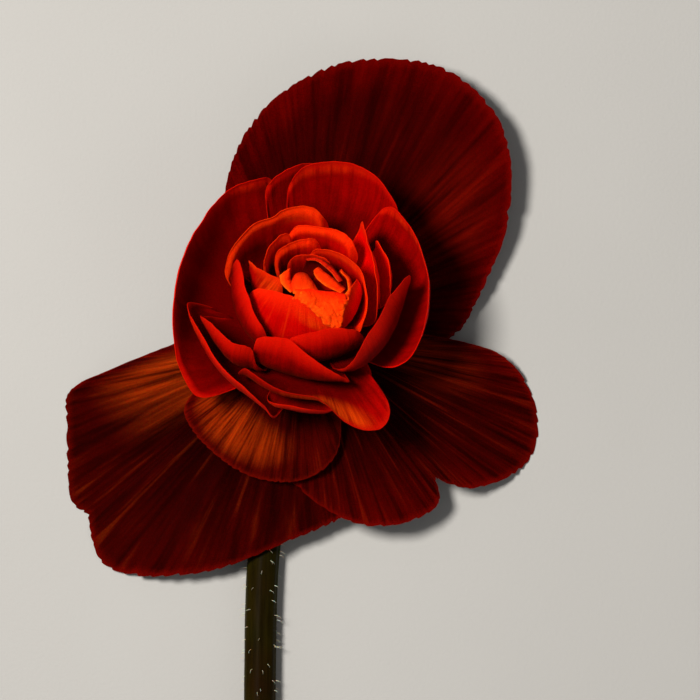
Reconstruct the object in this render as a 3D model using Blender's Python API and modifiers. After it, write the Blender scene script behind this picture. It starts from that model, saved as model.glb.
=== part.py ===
"""A double begonia bloom on its cut flower stalk, lying on its back.

The stalk lies along -Y and bends up into the receptacle. The bloom faces up, leaning a
little towards +Y, and its outer tepals spread over the surface that it lies on.
Lengths are written in millimetres and turned into metres by MM.
"""

import math

import bmesh
import bpy
from mathutils import Matrix, Vector

MM = 0.001

# The bloom: its axis leans from upright towards +Y, and its foot stands over the origin.
BLOOM_LEAN = math.radians(24)
BLOOM_FOOT_HEIGHT = 13.0
PETAL_THICKNESS = 0.63
PETAL_GAP = 0.35

# Petals that overlap grow from the column one layer above another.
FIRST_LAYER_HEIGHT = 1.3
LAYER_STEP = 0.95

# The stalk, the receptacle that it widens into, and the column that the petals grow on.
STALK_RADIUS = 3.3
STALK_BEND_RADIUS = 9.0
STALK_CUT_END = (-9.4, -86.0)
STALK_MIDDLE = (-8.4, -45.0)
STALK_BEND_START = (-1.2, -10.2)
RECEPTACLE_RADIUS = 6.0
COLUMN_HEIGHT = 17.0
COLUMN_FOOT_RADIUS = 5.4
COLUMN_TIP_RADIUS = 1.0

RED = (0.62, 0.020, 0.008, 1.0)
DEEP_RED = (0.40, 0.012, 0.006, 1.0)
ORANGE_RED = (0.85, 0.070, 0.012, 1.0)
STALK_GREEN = (0.20, 0.17, 0.05, 1.0)


def material(name, colour, roughness):
    made = bpy.data.materials.new(name)
    made.use_nodes = True
    shader = made.node_tree.nodes["Principled BSDF"]
    shader.inputs["Base Color"].default_value = colour
    shader.inputs["Roughness"].default_value = roughness
    shader.inputs["Metallic"].default_value = 0.0
    return made


def clear_scene():
    for thing in list(bpy.data.objects):
        bpy.data.objects.remove(thing)


def smoothstep(x):
    x = min(1.0, max(0.0, x))
    return x * x * (3 - 2 * x)


def through(points, s):
    """The place at s, from 0 to 1, on a smooth curve through the points."""
    last = len(points) - 1
    span = min(last - 1, int(s * last))
    f = s * last - span
    a, b, c, d = (points[min(last, max(0, span + k))] for k in (-1, 0, 1, 2))
    return [
        0.5 * (2 * q + (r - p) * f + (2 * p - 5 * q + 4 * r - w) * f * f + (3 * q - 3 * r + w - p) * f**3)
        for p, q, r, w in zip(a, b, c, d)
    ]


def bezier(a, b, c, d, t):
    """The place at t on the cubic curve from a to d that leans towards b and c."""
    k = 1 - t
    return [
        k**3 * p + 3 * k * k * t * q + 3 * k * t * t * r + t**3 * w
        for p, q, r, w in zip(a, b, c, d)
    ]


def column_radius(height):
    return COLUMN_FOOT_RADIUS + (COLUMN_TIP_RADIUS - COLUMN_FOOT_RADIUS) * height / COLUMN_HEIGHT


def polar(azimuth, radius, height):
    """A place from its azimuth in degrees and its radius and height."""
    a = math.radians(azimuth)
    return Vector((radius * math.cos(a), radius * math.sin(a), height))


def lean():
    """Turns the bloom's own frame into the flower's."""
    return Matrix.Translation((0, 0, BLOOM_FOOT_HEIGHT)) @ Matrix.Rotation(-BLOOM_LEAN, 4, "X")


def rests(height, softness=1.5):
    """A height that never drops below the surface that the flower lies on."""
    if height >= softness:
        return height
    if height <= -softness:
        return 0.0
    return (height + softness) ** 2 / (4 * softness)


def sheet(name, columns, rows, place):
    """A grid whose points place(u, t) puts; u runs across the petal and t from its foot to its rim."""
    bpy.ops.mesh.primitive_grid_add(x_subdivisions=columns, y_subdivisions=rows, size=2)
    petal = bpy.context.object
    petal.name = name
    for point in petal.data.vertices:
        point.co = Vector(place((point.co.x + 1) / 2, (point.co.y + 1) / 2)) * MM
    mesh = bmesh.new()
    mesh.from_mesh(petal.data)
    bmesh.ops.triangulate(mesh, faces=mesh.faces[:], quad_method="SHORT_EDGE")
    mesh.to_mesh(petal.data)
    mesh.free()
    return petal


def thicken(petal):
    """Gives a sheet its wall, on the side that faces away from its normals."""
    wall = petal.modifiers.new("wall", "SOLIDIFY")
    wall.thickness = PETAL_THICKNESS * MM
    wall.offset = -1
    petal.data.shade_smooth()
    petal.data.set_sharp_from_angle(angle=math.radians(50))


def ribbed(u, t, outline, belly, foot, foot_radius, spread):
    """The place on a cupped petal, u across it and t along its rib from the foot to the rim."""
    middle = (outline[0][0] + outline[-1][0]) / 2
    azimuth, radius, height = through(outline, u)
    lean_radius, lean_height = through(belly, u)
    # a short rib at the petal's side runs straight out instead of round the belly
    full = smoothstep((height - foot) / 9)
    lean_radius = full * lean_radius + (1 - full) * (foot_radius + 0.7 * (radius - foot_radius))
    lean_height = full * lean_height + (1 - full) * (foot + 0.5 * (height - foot))
    start = (foot_radius, foot)
    out = (foot_radius + 0.6 * (lean_radius - foot_radius), foot + 0.04 * (lean_height - foot))
    r, h = bezier(start, out, (lean_radius, lean_height), (radius, height), t)
    fan = spread + (1 - spread) * smoothstep(t / 0.55)
    return polar(middle + (azimuth - middle) * fan, r, h)


def cup_petal(name, layer, outline, belly, parent, finish, spread=0.36, columns=10, rows=7):
    """A cupped petal of the bloom, in the bloom's frame.

    layer: how many layers up the column it grows.
    outline: its edge as (azimuth, radius, height), from one side of the foot round to the other.
    belly: the (radius, height) that its ribs lean out to, from the first side to the last.
    """
    foot = FIRST_LAYER_HEIGHT + LAYER_STEP * layer
    foot_radius = column_radius(foot) + PETAL_GAP
    petal = sheet(name, columns, rows, lambda u, t: ribbed(u, t, outline, belly, foot, foot_radius, spread))
    petal.data.materials.append(finish)
    petal.parent = parent
    thicken(petal)
    return petal


def tepal(name, outline, foot, rise, droop, parent, finish, columns=20, rows=10, pleats=(0, 0), spread=0.5):
    """A large spread tepal, in the flower's own frame.

    outline: its edge as (azimuth, radius, height), from one side of the foot round to the other.
    foot: the height in the bloom's frame that it grows from.
    rise, droop: how far its ribs lean up from the foot and above the rim, at its two sides and middle.
    pleats: how many shallow folds run out along it, and how deep they are.
    """
    middle = (outline[0][0] + outline[-1][0]) / 2
    foot_radius = RECEPTACLE_RADIUS + PETAL_GAP
    tilt = lean()

    def place(u, t):
        azimuth, radius, height = through(outline, u)
        start_azimuth = middle + (azimuth - middle) * spread
        start = tilt @ polar(start_azimuth, foot_radius, foot)
        end = polar(azimuth, radius, height)
        way = end - start
        up = through([(v,) for v in rise], u)[0]
        down = through([(v,) for v in droop], u)[0]
        first = start + way * 0.3
        first.z = start.z + up
        second = start + way * 0.72
        second.z = end.z + down
        x, y, z = bezier(start, first, second, end, t)
        count, depth = pleats
        z += depth * math.sin(u * math.tau * count) * smoothstep(t / 0.4) * (1 - 0.4 * t)
        return x, y, rests(z)

    petal = sheet(name, columns, rows, place)
    petal.data.materials.append(finish)
    petal.parent = parent
    thicken(petal)
    return petal


def stalk_path():
    """Places and radii along the stalk's centre line, from the cut end up to the column's tip."""
    low = STALK_RADIUS
    turn = math.pi / 2 - BLOOM_LEAN
    axis = Vector((0, math.sin(BLOOM_LEAN), math.cos(BLOOM_LEAN)))
    foot = Vector((0, 0, BLOOM_FOOT_HEIGHT))
    top = foot - axis * 3.8
    run = STALK_BEND_RADIUS * math.sin(turn)
    climb = STALK_BEND_RADIUS * (1 - math.cos(turn))
    ramp = (top.z - low - climb) / axis.z
    bend = Vector((STALK_BEND_START[0], top.y - ramp * axis.y - run, low))
    lying = [(*STALK_CUT_END, low), (*STALK_MIDDLE, low), tuple(bend - Vector((0.9, 9.0, 0))), tuple(bend)]
    path = [(through(lying, k / 14), STALK_RADIUS) for k in range(15)]
    for k in range(1, 8):
        a = turn * k / 7
        share = k / 7
        x = bend.x * (1 - smoothstep(share))
        y = bend.y + STALK_BEND_RADIUS * math.sin(a)
        z = low + STALK_BEND_RADIUS * (1 - math.cos(a))
        path.append(((x, y, z), STALK_RADIUS * (1 + 0.12 * share)))
    swell = ((-3.3, 0.74), (-2.3, 0.92), (-1.2, 1.0), (0.2, 0.97))
    for height, share in swell:
        path.append((tuple(foot + axis * height), RECEPTACLE_RADIUS * share))
    for k in range(7):
        height = 0.9 + (COLUMN_HEIGHT - 0.9) * k / 6
        path.append((tuple(foot + axis * height), column_radius(height)))
    return path


def stalk(parent, finish):
    """The stalk, receptacle and petal column, grown as one piece: one tube whose radius changes."""
    path = stalk_path()
    curve = bpy.data.curves.new("flower_stalk", "CURVE")
    curve.dimensions = "3D"
    curve.bevel_depth = MM
    curve.bevel_resolution = 6
    curve.use_fill_caps = True
    line = curve.splines.new("POLY")
    line.points.add(len(path) - 1)
    for point, (place, radius) in zip(line.points, path):
        point.co = (*(Vector(place) * MM), 1)
        point.radius = radius
    tube = bpy.data.objects.new("stalk_guide", curve)
    bpy.context.collection.objects.link(tube)
    bpy.context.view_layer.update()
    shape = bpy.data.meshes.new_from_object(tube.evaluated_get(bpy.context.evaluated_depsgraph_get()))
    bpy.data.objects.remove(tube)
    mesh = bmesh.new()
    mesh.from_mesh(shape)
    bmesh.ops.remove_doubles(mesh, verts=mesh.verts[:], dist=0.00001)
    press_flat(mesh, 0.35 * MM)
    bmesh.ops.recalc_face_normals(mesh, faces=mesh.faces[:])
    mesh.to_mesh(shape)
    mesh.free()
    shape.materials.clear()
    shape.materials.append(finish)
    made = bpy.data.objects.new("flower_stalk", shape)
    bpy.context.collection.objects.link(made)
    made.parent = parent
    shape.shade_smooth()
    shape.set_sharp_from_angle(angle=math.radians(50))
    return made


def press_flat(mesh, depth):
    """Flattens the underside that lies on the surface."""
    for point in mesh.verts:
        if point.co.z < depth:
            point.co.z = 0.0


def centre_on_footprint(root, parts):
    """Moves the flower so that the origin is below the middle of its box, on the surface."""
    bpy.context.view_layer.update()
    scene = bpy.context.evaluated_depsgraph_get()
    low, high = Vector((1e9,) * 3), Vector((-1e9,) * 3)
    for part in parts:
        shown = part.evaluated_get(scene)
        for point in shown.data.vertices:
            place = shown.matrix_world @ point.co
            low = Vector(map(min, low, place))
            high = Vector(map(max, high, place))
    root.location = (-(low.x + high.x) / 2, -(low.y + high.y) / 2, -low.z)


def main():
    clear_scene()
    collection = bpy.data.collections.new("begonia flower")
    bpy.context.scene.collection.children.link(collection)
    bpy.context.view_layer.active_layer_collection = bpy.context.view_layer.layer_collection.children[-1]
    root = bpy.data.objects.new("flower", None)
    collection.objects.link(root)
    bloom = bpy.data.objects.new("bloom", None)
    collection.objects.link(bloom)
    bloom.parent = root
    bloom.location = (0, 0, BLOOM_FOOT_HEIGHT * MM)
    bloom.rotation_euler = (-BLOOM_LEAN, 0, 0)
    deep = material("tepal deep red", DEEP_RED, 0.55)
    red = material("petal scarlet", RED, 0.50)
    heart_red = material("heart orange red", ORANGE_RED, 0.45)
    green = material("stalk green", STALK_GREEN, 0.50)

    parts = [stalk(root, green)]

    # The four outer tepals, lowest first.
    parts.append(tepal(
        "outer_tepal_top",
        outline=(
            (-16, 15, 7.5), (-10, 25, 4.5), (-3, 31, 4.0), (8, 35, 4.5), (19, 41, 6.5), (30, 48, 8.5),
            (41, 54.5, 9.5), (51, 58.5, 9.5), (61, 59.2, 9.5), (71, 57, 9.0), (81, 54.2, 8.5),
            (91, 49.8, 8.0), (101, 44.8, 7.5), (111, 38.6, 7.0), (122, 31, 6.5), (132, 23.5, 6.5),
            (139, 15, 7.5),
        ),
        foot=-2.7, rise=(-2.0, -5.0, -2.0), droop=(-3.0, -22.0, -4.0), parent=root, finish=deep,
        columns=24, rows=12, pleats=(6, 0.35),
    ))
    parts.append(tepal(
        "outer_tepal_left",
        outline=(
            (181, 16, 11.5), (188, 27, 8.0), (192, 38, 3.5), (194.3, 47.5, 0.0), (197, 51.2, -1.5),
            (203, 53.2, -2.0), (211, 57.0, -2.0), (217, 59.8, -1.6), (221, 59.2, -0.6),
            (225, 61.8, -0.2), (230, 63.8, 1.2), (236, 61.4, 3.2), (243, 56.8, 5.2), (250, 52.6, 7.0),
            (258, 47.6, 8.0), (266, 43.6, 8.2), (274, 41.2, 8.4), (281, 39.4, 8.4), (288, 33, 10.0),
            (294, 22, 12.0),
        ),
        foot=-1.7, rise=(0.0, 0.5, -1.2), droop=(4.0, 4.0, 1.0), parent=root, finish=deep,
        columns=26, rows=11, pleats=(7, 0.4),
    ))
    parts.append(tepal(
        "outer_tepal_right",
        outline=(
            (-112, 17, 14.6), (-106, 24, 13.8), (-99, 29.5, 13.0), (-91, 33.4, 12.2), (-82, 38, 11.4),
            (-74, 41.8, 10.8), (-66, 44.0, 10.4), (-59, 45.2, 9.6), (-54, 45.2, 8.4),
            (-51.4, 43.6, 7.6), (-49.6, 40.8, 8.8), (-47.8, 43.4, 9.4), (-45, 47.0, 7.0),
            (-40, 50, 4.0), (-34, 52.6, 1.0), (-28, 53, -1.2), (-22, 51, -1.5), (-17, 48.2, -0.4),
            (-12, 44.2, 2.0), (-8, 39.2, 4.6), (-6, 32, 6.6), (-4, 23, 8.4), (2, 14, 10.6),
        ),
        foot=-0.7, rise=(-0.5, 0.5, -0.5), droop=(1.0, 4.0, 3.0), parent=root, finish=deep,
        columns=36, rows=11, pleats=(5, 0.3),
    ))
    parts.append(tepal(
        "lower_front_petal",
        outline=(
            (203, 15, 16.4), (209, 23, 15.6), (214, 29.2, 14.4), (221, 30.8, 13.6), (229, 31.4, 13.2),
            (237, 31.8, 13.2), (246, 32.4, 13.4), (255, 32.4, 13.8), (263, 32.0, 14.4),
            (270, 31.0, 15.2), (278, 29, 16.4), (286, 25, 17.6), (294, 16, 17.8),
        ),
        foot=0.3, rise=(-0.5, 1.0, 0.5), droop=(0.5, 5.0, 2.5), parent=root, finish=deep,
        columns=18, rows=8, pleats=(5, 0.3),
    ))

    # The cup of large petals round the bloom.
    parts.append(cup_petal(
        "cup_petal_left", layer=0,
        outline=(
            (99, 21, 4.6), (102, 25.2, 11), (106, 25.2, 18), (113, 24.8, 20.8), (123, 25.2, 21.4),
            (134, 25.1, 21.4), (146, 24.6, 21), (158, 24.5, 21), (175, 25.0, 20), (193, 26.6, 18.5),
            (205, 28.4, 16), (216, 29.3, 12), (223, 27.7, 7.5), (228, 21, 3.6),
        ),
        belly=((27.5, 4.5), (29.5, 9), (30, 9), (27, 3.5)), parent=bloom, finish=red, columns=18, rows=8,
    ))
    parts.append(cup_petal(
        "cup_petal_top_left", layer=1,
        outline=(
            (69, 20, 6), (73, 25.5, 12), (80, 26.9, 18), (87, 26.2, 21.3), (94, 24.8, 23.5),
            (101, 23.8, 22.8), (107, 23.6, 20.4), (110, 23.4, 16), (112, 19.5, 8.6),
        ),
        belly=((26, 6), (29, 9), (27, 8.5), (22, 6.5)), parent=bloom, finish=red,
    ))
    parts.append(cup_petal(
        "cup_petal_top_right", layer=2,
        outline=(
            (37, 22, 5.4), (40, 25.4, 11), (44, 26.1, 16), (50, 26.2, 20), (57, 26.5, 22.3),
            (66, 26.6, 23.5), (74, 26.2, 24), (83, 25.2, 24), (91, 24.4, 22.6), (96, 23.6, 19.6),
            (99, 22.6, 15.6), (102, 17.5, 8.6),
        ),
        belly=((27, 5.5), (28.5, 9), (27, 9.5), (20.5, 8)), parent=bloom, finish=red, columns=14,
    ))
    parts.append(cup_petal(
        "cup_petal_right", layer=3,
        outline=(
            (-42, 17, 7.6), (-39.5, 21.4, 9.8), (-33, 24.1, 12.2), (-24, 24.8, 15), (-15, 24.8, 17.5),
            (-5, 24.6, 19), (6, 24.5, 20), (16, 24.2, 21), (27, 24.2, 21.5), (36, 24.2, 21),
            (43, 24.5, 20), (49, 24.4, 17), (53, 23.2, 12), (55, 18, 7.2),
        ),
        belly=((23, 8), (28, 9), (27.5, 9), (22, 7)), parent=bloom, finish=red, columns=15,
    ))
    parts.append(cup_petal(
        "cup_petal_lower_left", layer=1,
        outline=(
            (179, 18.5, 8), (184, 23.2, 14.5), (192, 23.3, 17), (201, 22.9, 18.3), (212, 23.0, 19.3),
            (224, 23.8, 20), (236, 24.9, 20.2), (246, 25.6, 19), (252, 25.6, 15.5), (256, 25.0, 10),
            (259, 20.2, 5.2),
        ),
        belly=((23, 8), (24.6, 9), (25.2, 9), (26.2, 5)), parent=bloom, finish=red, columns=13,
    ))
    parts.append(cup_petal(
        "cup_petal_bottom", layer=2,
        outline=(
            (247, 14.2, 4.7), (248.5, 18.9, 7.4), (250.5, 22.2, 11.4), (255, 24.3, 15.0),
            (264, 24.7, 16), (273, 24.9, 14.6), (281, 24, 11.2), (290, 22.0, 8.0), (299, 20.6, 6.6),
            (308, 20, 5.6), (317, 18, 4.8), (324, 13, 4.3),
        ),
        belly=((19.6, 7), (24.6, 8), (24.2, 7), (19.5, 4.6)), parent=bloom, finish=red,
    ))

    # The petals inside the cup, from the outside in.
    parts.append(cup_petal(
        "tongue_petal", layer=3,
        outline=(
            (228, 17, 7.4), (231, 20.8, 13), (237, 21.2, 18.6), (246, 22.0, 19.6), (255, 22.5, 18.4),
            (265, 22.8, 17.2), (275, 23.0, 16.0), (281, 24.4, 14), (287, 27, 11.0), (293, 29.2, 9.2),
            (299, 30.3, 8.6), (304, 29.6, 9), (308, 27, 9.5), (311, 20, 9),
        ),
        belly=((20, 8), (22.3, 9.5), (23, 11), (24.5, 14.5), (22, 12)),
        parent=bloom, finish=red, columns=16, rows=9,
    ))
    parts.append(cup_petal(
        "inner_petal_lower_left", layer=4,
        outline=(
            (188, 16, 8), (193, 21.2, 15), (200, 20.9, 19), (208, 20.2, 20.8), (217, 19.9, 21.8),
            (225, 19.7, 22), (231, 18.6, 22), (235, 17.8, 20.5), (238, 18.0, 15.2), (241, 16.3, 9.6),
        ),
        belly=((20, 8), (23, 10), (22.5, 10), (18.2, 9.4)), parent=bloom, finish=red,
    ))
    parts.append(cup_petal(
        "front_lip_petal", layer=5,
        outline=(
            (232, 13.6, 9.4), (233.5, 15.0, 12.4), (235, 15.6, 16.4), (238, 15.4, 21),
            (244, 14.6, 22.8), (253, 14.2, 23.3), (262, 14.3, 23.2), (270, 15.9, 22.8),
            (277, 17.7, 22), (285, 19.8, 20.8), (291, 21.2, 19), (295, 21.2, 15.5), (298, 16.5, 9),
        ),
        belly=((17.5, 10), (20, 11), (21, 11.5), (21, 11), (18.5, 8.8)),
        parent=bloom, finish=red, columns=13, rows=8,
    ))
    parts.append(cup_petal(
        "right_front_petal", layer=6,
        outline=(
            (-69, 15.8, 11.8), (-65, 18.7, 16.5), (-61, 19.3, 20), (-55, 18.7, 21.6),
            (-47, 17.8, 22.6), (-38, 17.3, 23.2), (-27, 17.1, 23.3), (-16, 17.4, 23.2), (-7, 18.5, 23),
            (0, 20.0, 22.8), (5, 21.0, 19.5), (8, 19, 11),
        ),
        belly=((17.8, 12), (23, 12), (23.5, 12), (21.5, 10)),
        parent=bloom, finish=red, columns=13, rows=8,
    ))
    parts.append(cup_petal(
        "back_petal_left", layer=4,
        outline=(
            (68, 13, 7.5), (73, 15.9, 15), (77, 15.4, 21), (84, 15.5, 23.8), (94, 15.5, 24.2),
            (108, 15.2, 24.3), (117, 15.0, 23.5), (130, 15.5, 24), (141, 15.8, 23.2), (150, 16.2, 22),
            (157, 16.6, 19), (162, 16.8, 14), (166, 14.5, 8.5),
        ),
        belly=((15, 9), (19, 11), (19.5, 11), (18.5, 8)), parent=bloom, finish=red, columns=13,
    ))
    parts.append(cup_petal(
        "left_front_petal", layer=6,
        outline=(
            (155, 11.5, 9.5), (156, 13.3, 12.5), (157.5, 14.3, 16.5), (161, 14.3, 21.5),
            (167, 13.2, 23), (176, 12.3, 23.5), (188, 11.9, 23.5), (203, 11.9, 23.2),
            (218, 12.4, 22.4), (228, 12.7, 21.5), (233, 12.7, 18.5), (236, 12.4, 14),
            (238, 10.8, 10.5),
        ),
        belly=((15.5, 10), (18, 12), (17, 12), (13.6, 11)), parent=bloom, finish=red, columns=12,
    ))
    parts.append(cup_petal(
        "right_outer_blade", layer=7,
        outline=(
            (-10, 13, 10.5), (-6, 16.6, 15), (-2, 16.9, 20), (4, 17.1, 22.6), (12, 16.9, 23.4),
            (21, 16.6, 23.4), (29, 16.5, 22.8), (34, 17.0, 19), (37, 17.2, 13), (40, 13, 9.5),
        ),
        belly=((16, 11), (19, 12), (19, 12), (17, 10)), parent=bloom, finish=red, columns=9,
    ))
    parts.append(cup_petal(
        "right_inner_blade", layer=8,
        outline=(
            (-28, 12, 10.5), (-25, 15.2, 16), (-20, 15.4, 21), (-10, 14.8, 23.8), (2, 14.0, 25),
            (14, 13.8, 25.3), (26, 14.1, 25), (36, 15.0, 24.3), (44, 16.2, 23.2), (49, 17.2, 21),
            (52, 17.0, 15), (54, 13, 10),
        ),
        belly=((15, 11), (17, 12.5), (17.4, 11.5), (17, 9.5)), parent=bloom, finish=red, columns=12,
    ))
    parts.append(cup_petal(
        "front_centre_petal", layer=7,
        outline=(
            (247, 12, 11.8), (251, 13.3, 16.5), (257, 12.7, 20.5), (265, 12.3, 22.3), (276, 12.0, 23),
            (288, 12.2, 23.6), (299, 13.2, 24), (306, 14.4, 23.9), (312, 15.4, 22.8),
            (316, 15.8, 19.5), (319, 15.5, 15), (321, 13, 11.2),
        ),
        belly=((15.4, 11.6), (17.8, 12), (18, 12), (16, 11.4)), parent=bloom, finish=red, columns=11,
    ))
    parts.append(cup_petal(
        "back_petal_right", layer=9,
        outline=(
            (31, 10.8, 13.5), (34, 12.7, 18), (38, 12.6, 22.5), (44, 12.5, 24.3), (55, 12.0, 25),
            (69, 11.3, 25.2), (85, 11.1, 25), (97, 11.3, 24.2), (105, 11.7, 21), (109, 11.9, 15),
            (112, 10, 10.5),
        ),
        belly=((12, 13.5), (14.6, 13), (14.5, 13), (13, 10.4)), parent=bloom, finish=red, columns=11,
    ))
    parts.append(cup_petal(
        "front_dome_petal", layer=8,
        outline=(
            (182, 8.5, 10), (184, 10.3, 13.4), (186, 10.9, 17.4), (190, 9.6, 22), (198, 8.3, 24.3),
            (212, 6.7, 25.6), (232, 5.9, 26), (252, 6.0, 26), (268, 6.9, 25.6), (278, 7.6, 24.6),
            (285, 8.8, 22.8), (290, 10.2, 20), (294, 11.0, 15.5), (297, 9, 10),
        ),
        belly=((12, 11), (15, 13), (15, 13), (12.5, 11)), parent=bloom, finish=red, columns=14, rows=9,
    ))
    parts.append(cup_petal(
        "left_back_petal", layer=9,
        outline=(
            (148, 9.5, 10.5), (150, 11.3, 13.2), (153, 12.1, 17), (157, 12.0, 21), (163, 11.1, 23.5),
            (170, 9.8, 24.6), (177, 8.2, 25.2), (184, 6.6, 25.2), (190, 6.0, 23), (195, 6.4, 18.5),
            (199, 6.5, 14.5), (202, 6.0, 11.2),
        ),
        belly=((12.5, 11), (13.5, 13), (11, 13), (8.5, 11)), parent=bloom, finish=red, columns=9,
    ))
    parts.append(cup_petal(
        "back_inner_petal_left", layer=10,
        outline=(
            (99, 7.5, 12.8), (103, 9.7, 18), (108, 10.0, 23.5), (116, 9.8, 25), (126, 9.5, 25.2),
            (138, 9.3, 25), (150, 9.0, 24.2), (158, 8.8, 22), (163, 8.3, 17), (166, 6.8, 13.4),
        ),
        belly=((10, 12.8), (12, 13), (11.5, 13), (9, 13)), parent=bloom, finish=red, columns=9,
    ))
    parts.append(cup_petal(
        "back_inner_petal_right", layer=11,
        outline=(
            (64, 8, 12.6), (68, 9.1, 17.5), (73, 8.7, 23), (80, 8.1, 25), (90, 7.7, 25.3),
            (103, 7.4, 25.3), (118, 7.4, 25.2), (130, 7.6, 24.6), (137, 7.8, 22), (141, 7.6, 17.5),
            (145, 6.4, 14),
        ),
        belly=((9.6, 12.6), (9.8, 14), (9.6, 14), (8.2, 14)), parent=bloom, finish=red, columns=9,
    ))
    parts.append(cup_petal(
        "spiral_petal", layer=12,
        outline=(
            (-42, 11, 13.5), (-40, 14.0, 17), (-36, 14.4, 20.5), (-28, 14.0, 23), (-19, 13.2, 24.3),
            (-9, 12.1, 25.3), (3, 11.0, 26), (18, 9.4, 26.2), (36, 7.7, 25.9), (54, 6.5, 25.4),
            (68, 5.9, 24.8), (78, 5.7, 22.5), (84, 5.8, 19), (88, 5.0, 15),
        ),
        belly=((14, 13), (15.5, 14), (11, 14), (6.8, 14.8)),
        parent=bloom, finish=red, columns=16, rows=8,
    ))
    parts.append(cup_petal(
        "inner_petal_right", layer=13,
        outline=(
            (-59, 8.5, 14.3), (-57, 11.0, 18), (-53, 11.3, 21.5), (-47, 10.9, 23.9), (-38, 10.5, 24.8),
            (-27, 10.2, 25), (-18, 10.0, 25), (-13, 9.7, 23.8), (-9, 9.6, 19.5), (-6, 7.8, 14.2),
        ),
        belly=((11, 14.2), (12.6, 14), (12.2, 14), (10, 14)), parent=bloom, finish=red, columns=9,
    ))
    parts.append(cup_petal(
        "back_innermost_petal", layer=13,
        outline=(
            (24, 4.8, 15), (26, 6.1, 19), (30, 5.9, 23), (35, 5.6, 24.4), (52, 4.8, 24.8),
            (75, 4.3, 24.6), (100, 4.5, 24), (120, 5.1, 22.5), (130, 5.3, 19), (136, 4.6, 15),
        ),
        belly=((6.2, 15.4), (5.8, 15.8), (5.3, 15.8), (5.1, 15.4)), parent=bloom, finish=red,
        spread=0.5, columns=9,
    ))

    # The heart's small crinkled petals.
    parts.append(cup_petal(
        "heart_petal_right", layer=14,
        outline=(
            (-31, 6.4, 17), (-29, 8.0, 21.5), (-25, 8.6, 24.6), (-18, 8.7, 25.1), (-9, 8.1, 25),
            (-1, 7.4, 24), (3.5, 6.7, 21), (5, 5.2, 17),
        ),
        belly=((7.6, 16.5), (8.9, 17), (8.4, 17), (6.6, 16.5)), parent=bloom, finish=heart_red,
        spread=0.5, columns=8, rows=6,
    ))
    parts.append(cup_petal(
        "heart_petal_lip", layer=14,
        outline=(
            (-100, 4.8, 17), (-96, 5.5, 21.5), (-87, 6.1, 24.8), (-77, 7.3, 25.8), (-68, 10.2, 25.2),
            (-61, 12.1, 24.6), (-55, 11.8, 24.8), (-50, 10.6, 25.2), (-47, 9.4, 24.6),
            (-45.5, 8.2, 22), (-45, 6.4, 17),
        ),
        belly=((6.2, 16.5), (7.2, 18.5), (8.2, 19.5), (7.6, 16.5)), parent=bloom, finish=heart_red,
        spread=0.5, columns=11, rows=6,
    ))
    parts.append(cup_petal(
        "heart_petal_left", layer=15,
        outline=(
            (150, 3.0, 17.7), (156, 4.0, 20.5), (166, 4.5, 23), (178, 4.6, 24.2), (192, 4.5, 24.2),
            (203, 4.4, 23.2), (209, 4.2, 20.5), (212, 3.4, 17.7),
        ),
        belly=((4.4, 17), (5.0, 17), (4.4, 17)),
        parent=bloom, finish=heart_red, spread=0.5, columns=7, rows=6,
    ))
    parts.append(cup_petal(
        "heart_petal_back", layer=15,
        outline=(
            (-19, 5.6, 17.2), (-17, 6.8, 20.5), (-14, 7.0, 23.6), (-6, 6.4, 24.8), (8, 5.4, 24.8),
            (28, 4.4, 24.6), (48, 3.9, 24), (58, 3.7, 22), (64, 3.3, 18),
        ),
        belly=((6.8, 17), (5.0, 17), (3.8, 17)),
        parent=bloom, finish=heart_red, spread=0.5, columns=9, rows=6,
    ))
    parts.append(cup_petal(
        "heart_petal_hood", layer=16,
        outline=(
            (226, 3.0, 18), (229, 3.8, 20.5), (232, 3.4, 23.3), (243, 2.3, 24.5), (270, 1.8, 24.9),
            (296, 2.2, 24.8), (307, 3.4, 24.2), (312, 4.3, 22.4), (314, 4.4, 20), (316, 3.7, 18),
        ),
        belly=((4.8, 18), (6.4, 19), (6.4, 19), (5.2, 18)), parent=bloom, finish=heart_red,
        spread=0.5, columns=10, rows=6,
    ))
    parts.append(cup_petal(
        "heart_petal_blade", layer=16,
        outline=(
            (-29, 4.4, 18.2), (-27.5, 5.5, 20.5), (-26, 5.8, 22.8), (-24, 5.5, 24.4), (-18, 4.7, 25),
            (-4, 3.4, 24.9), (18, 2.7, 24.3), (38, 2.6, 22), (48, 2.6, 19),
        ),
        belly=((4.4, 18.6), (4.4, 18.6), (3.2, 18.6), (2.8, 18.6)), parent=bloom, finish=heart_red,
        spread=0.5, columns=9, rows=6,
    ))
    centre_on_footprint(root, parts)


main()
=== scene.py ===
"""A double begonia bloom lying face up on its cut stalk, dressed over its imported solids.

The sections follow the flower as it grows: what it lies on, the stalk and its hairs, the outer
tepals, the cup of large petals, the petals inside it and the heart.
Lengths are millimetres in the flower's own frame, and MM and FLOWER_PLACE put them in the scene.
"""

import math
import random

import bmesh
import bpy
from mathutils import Matrix, Vector, noise


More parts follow.
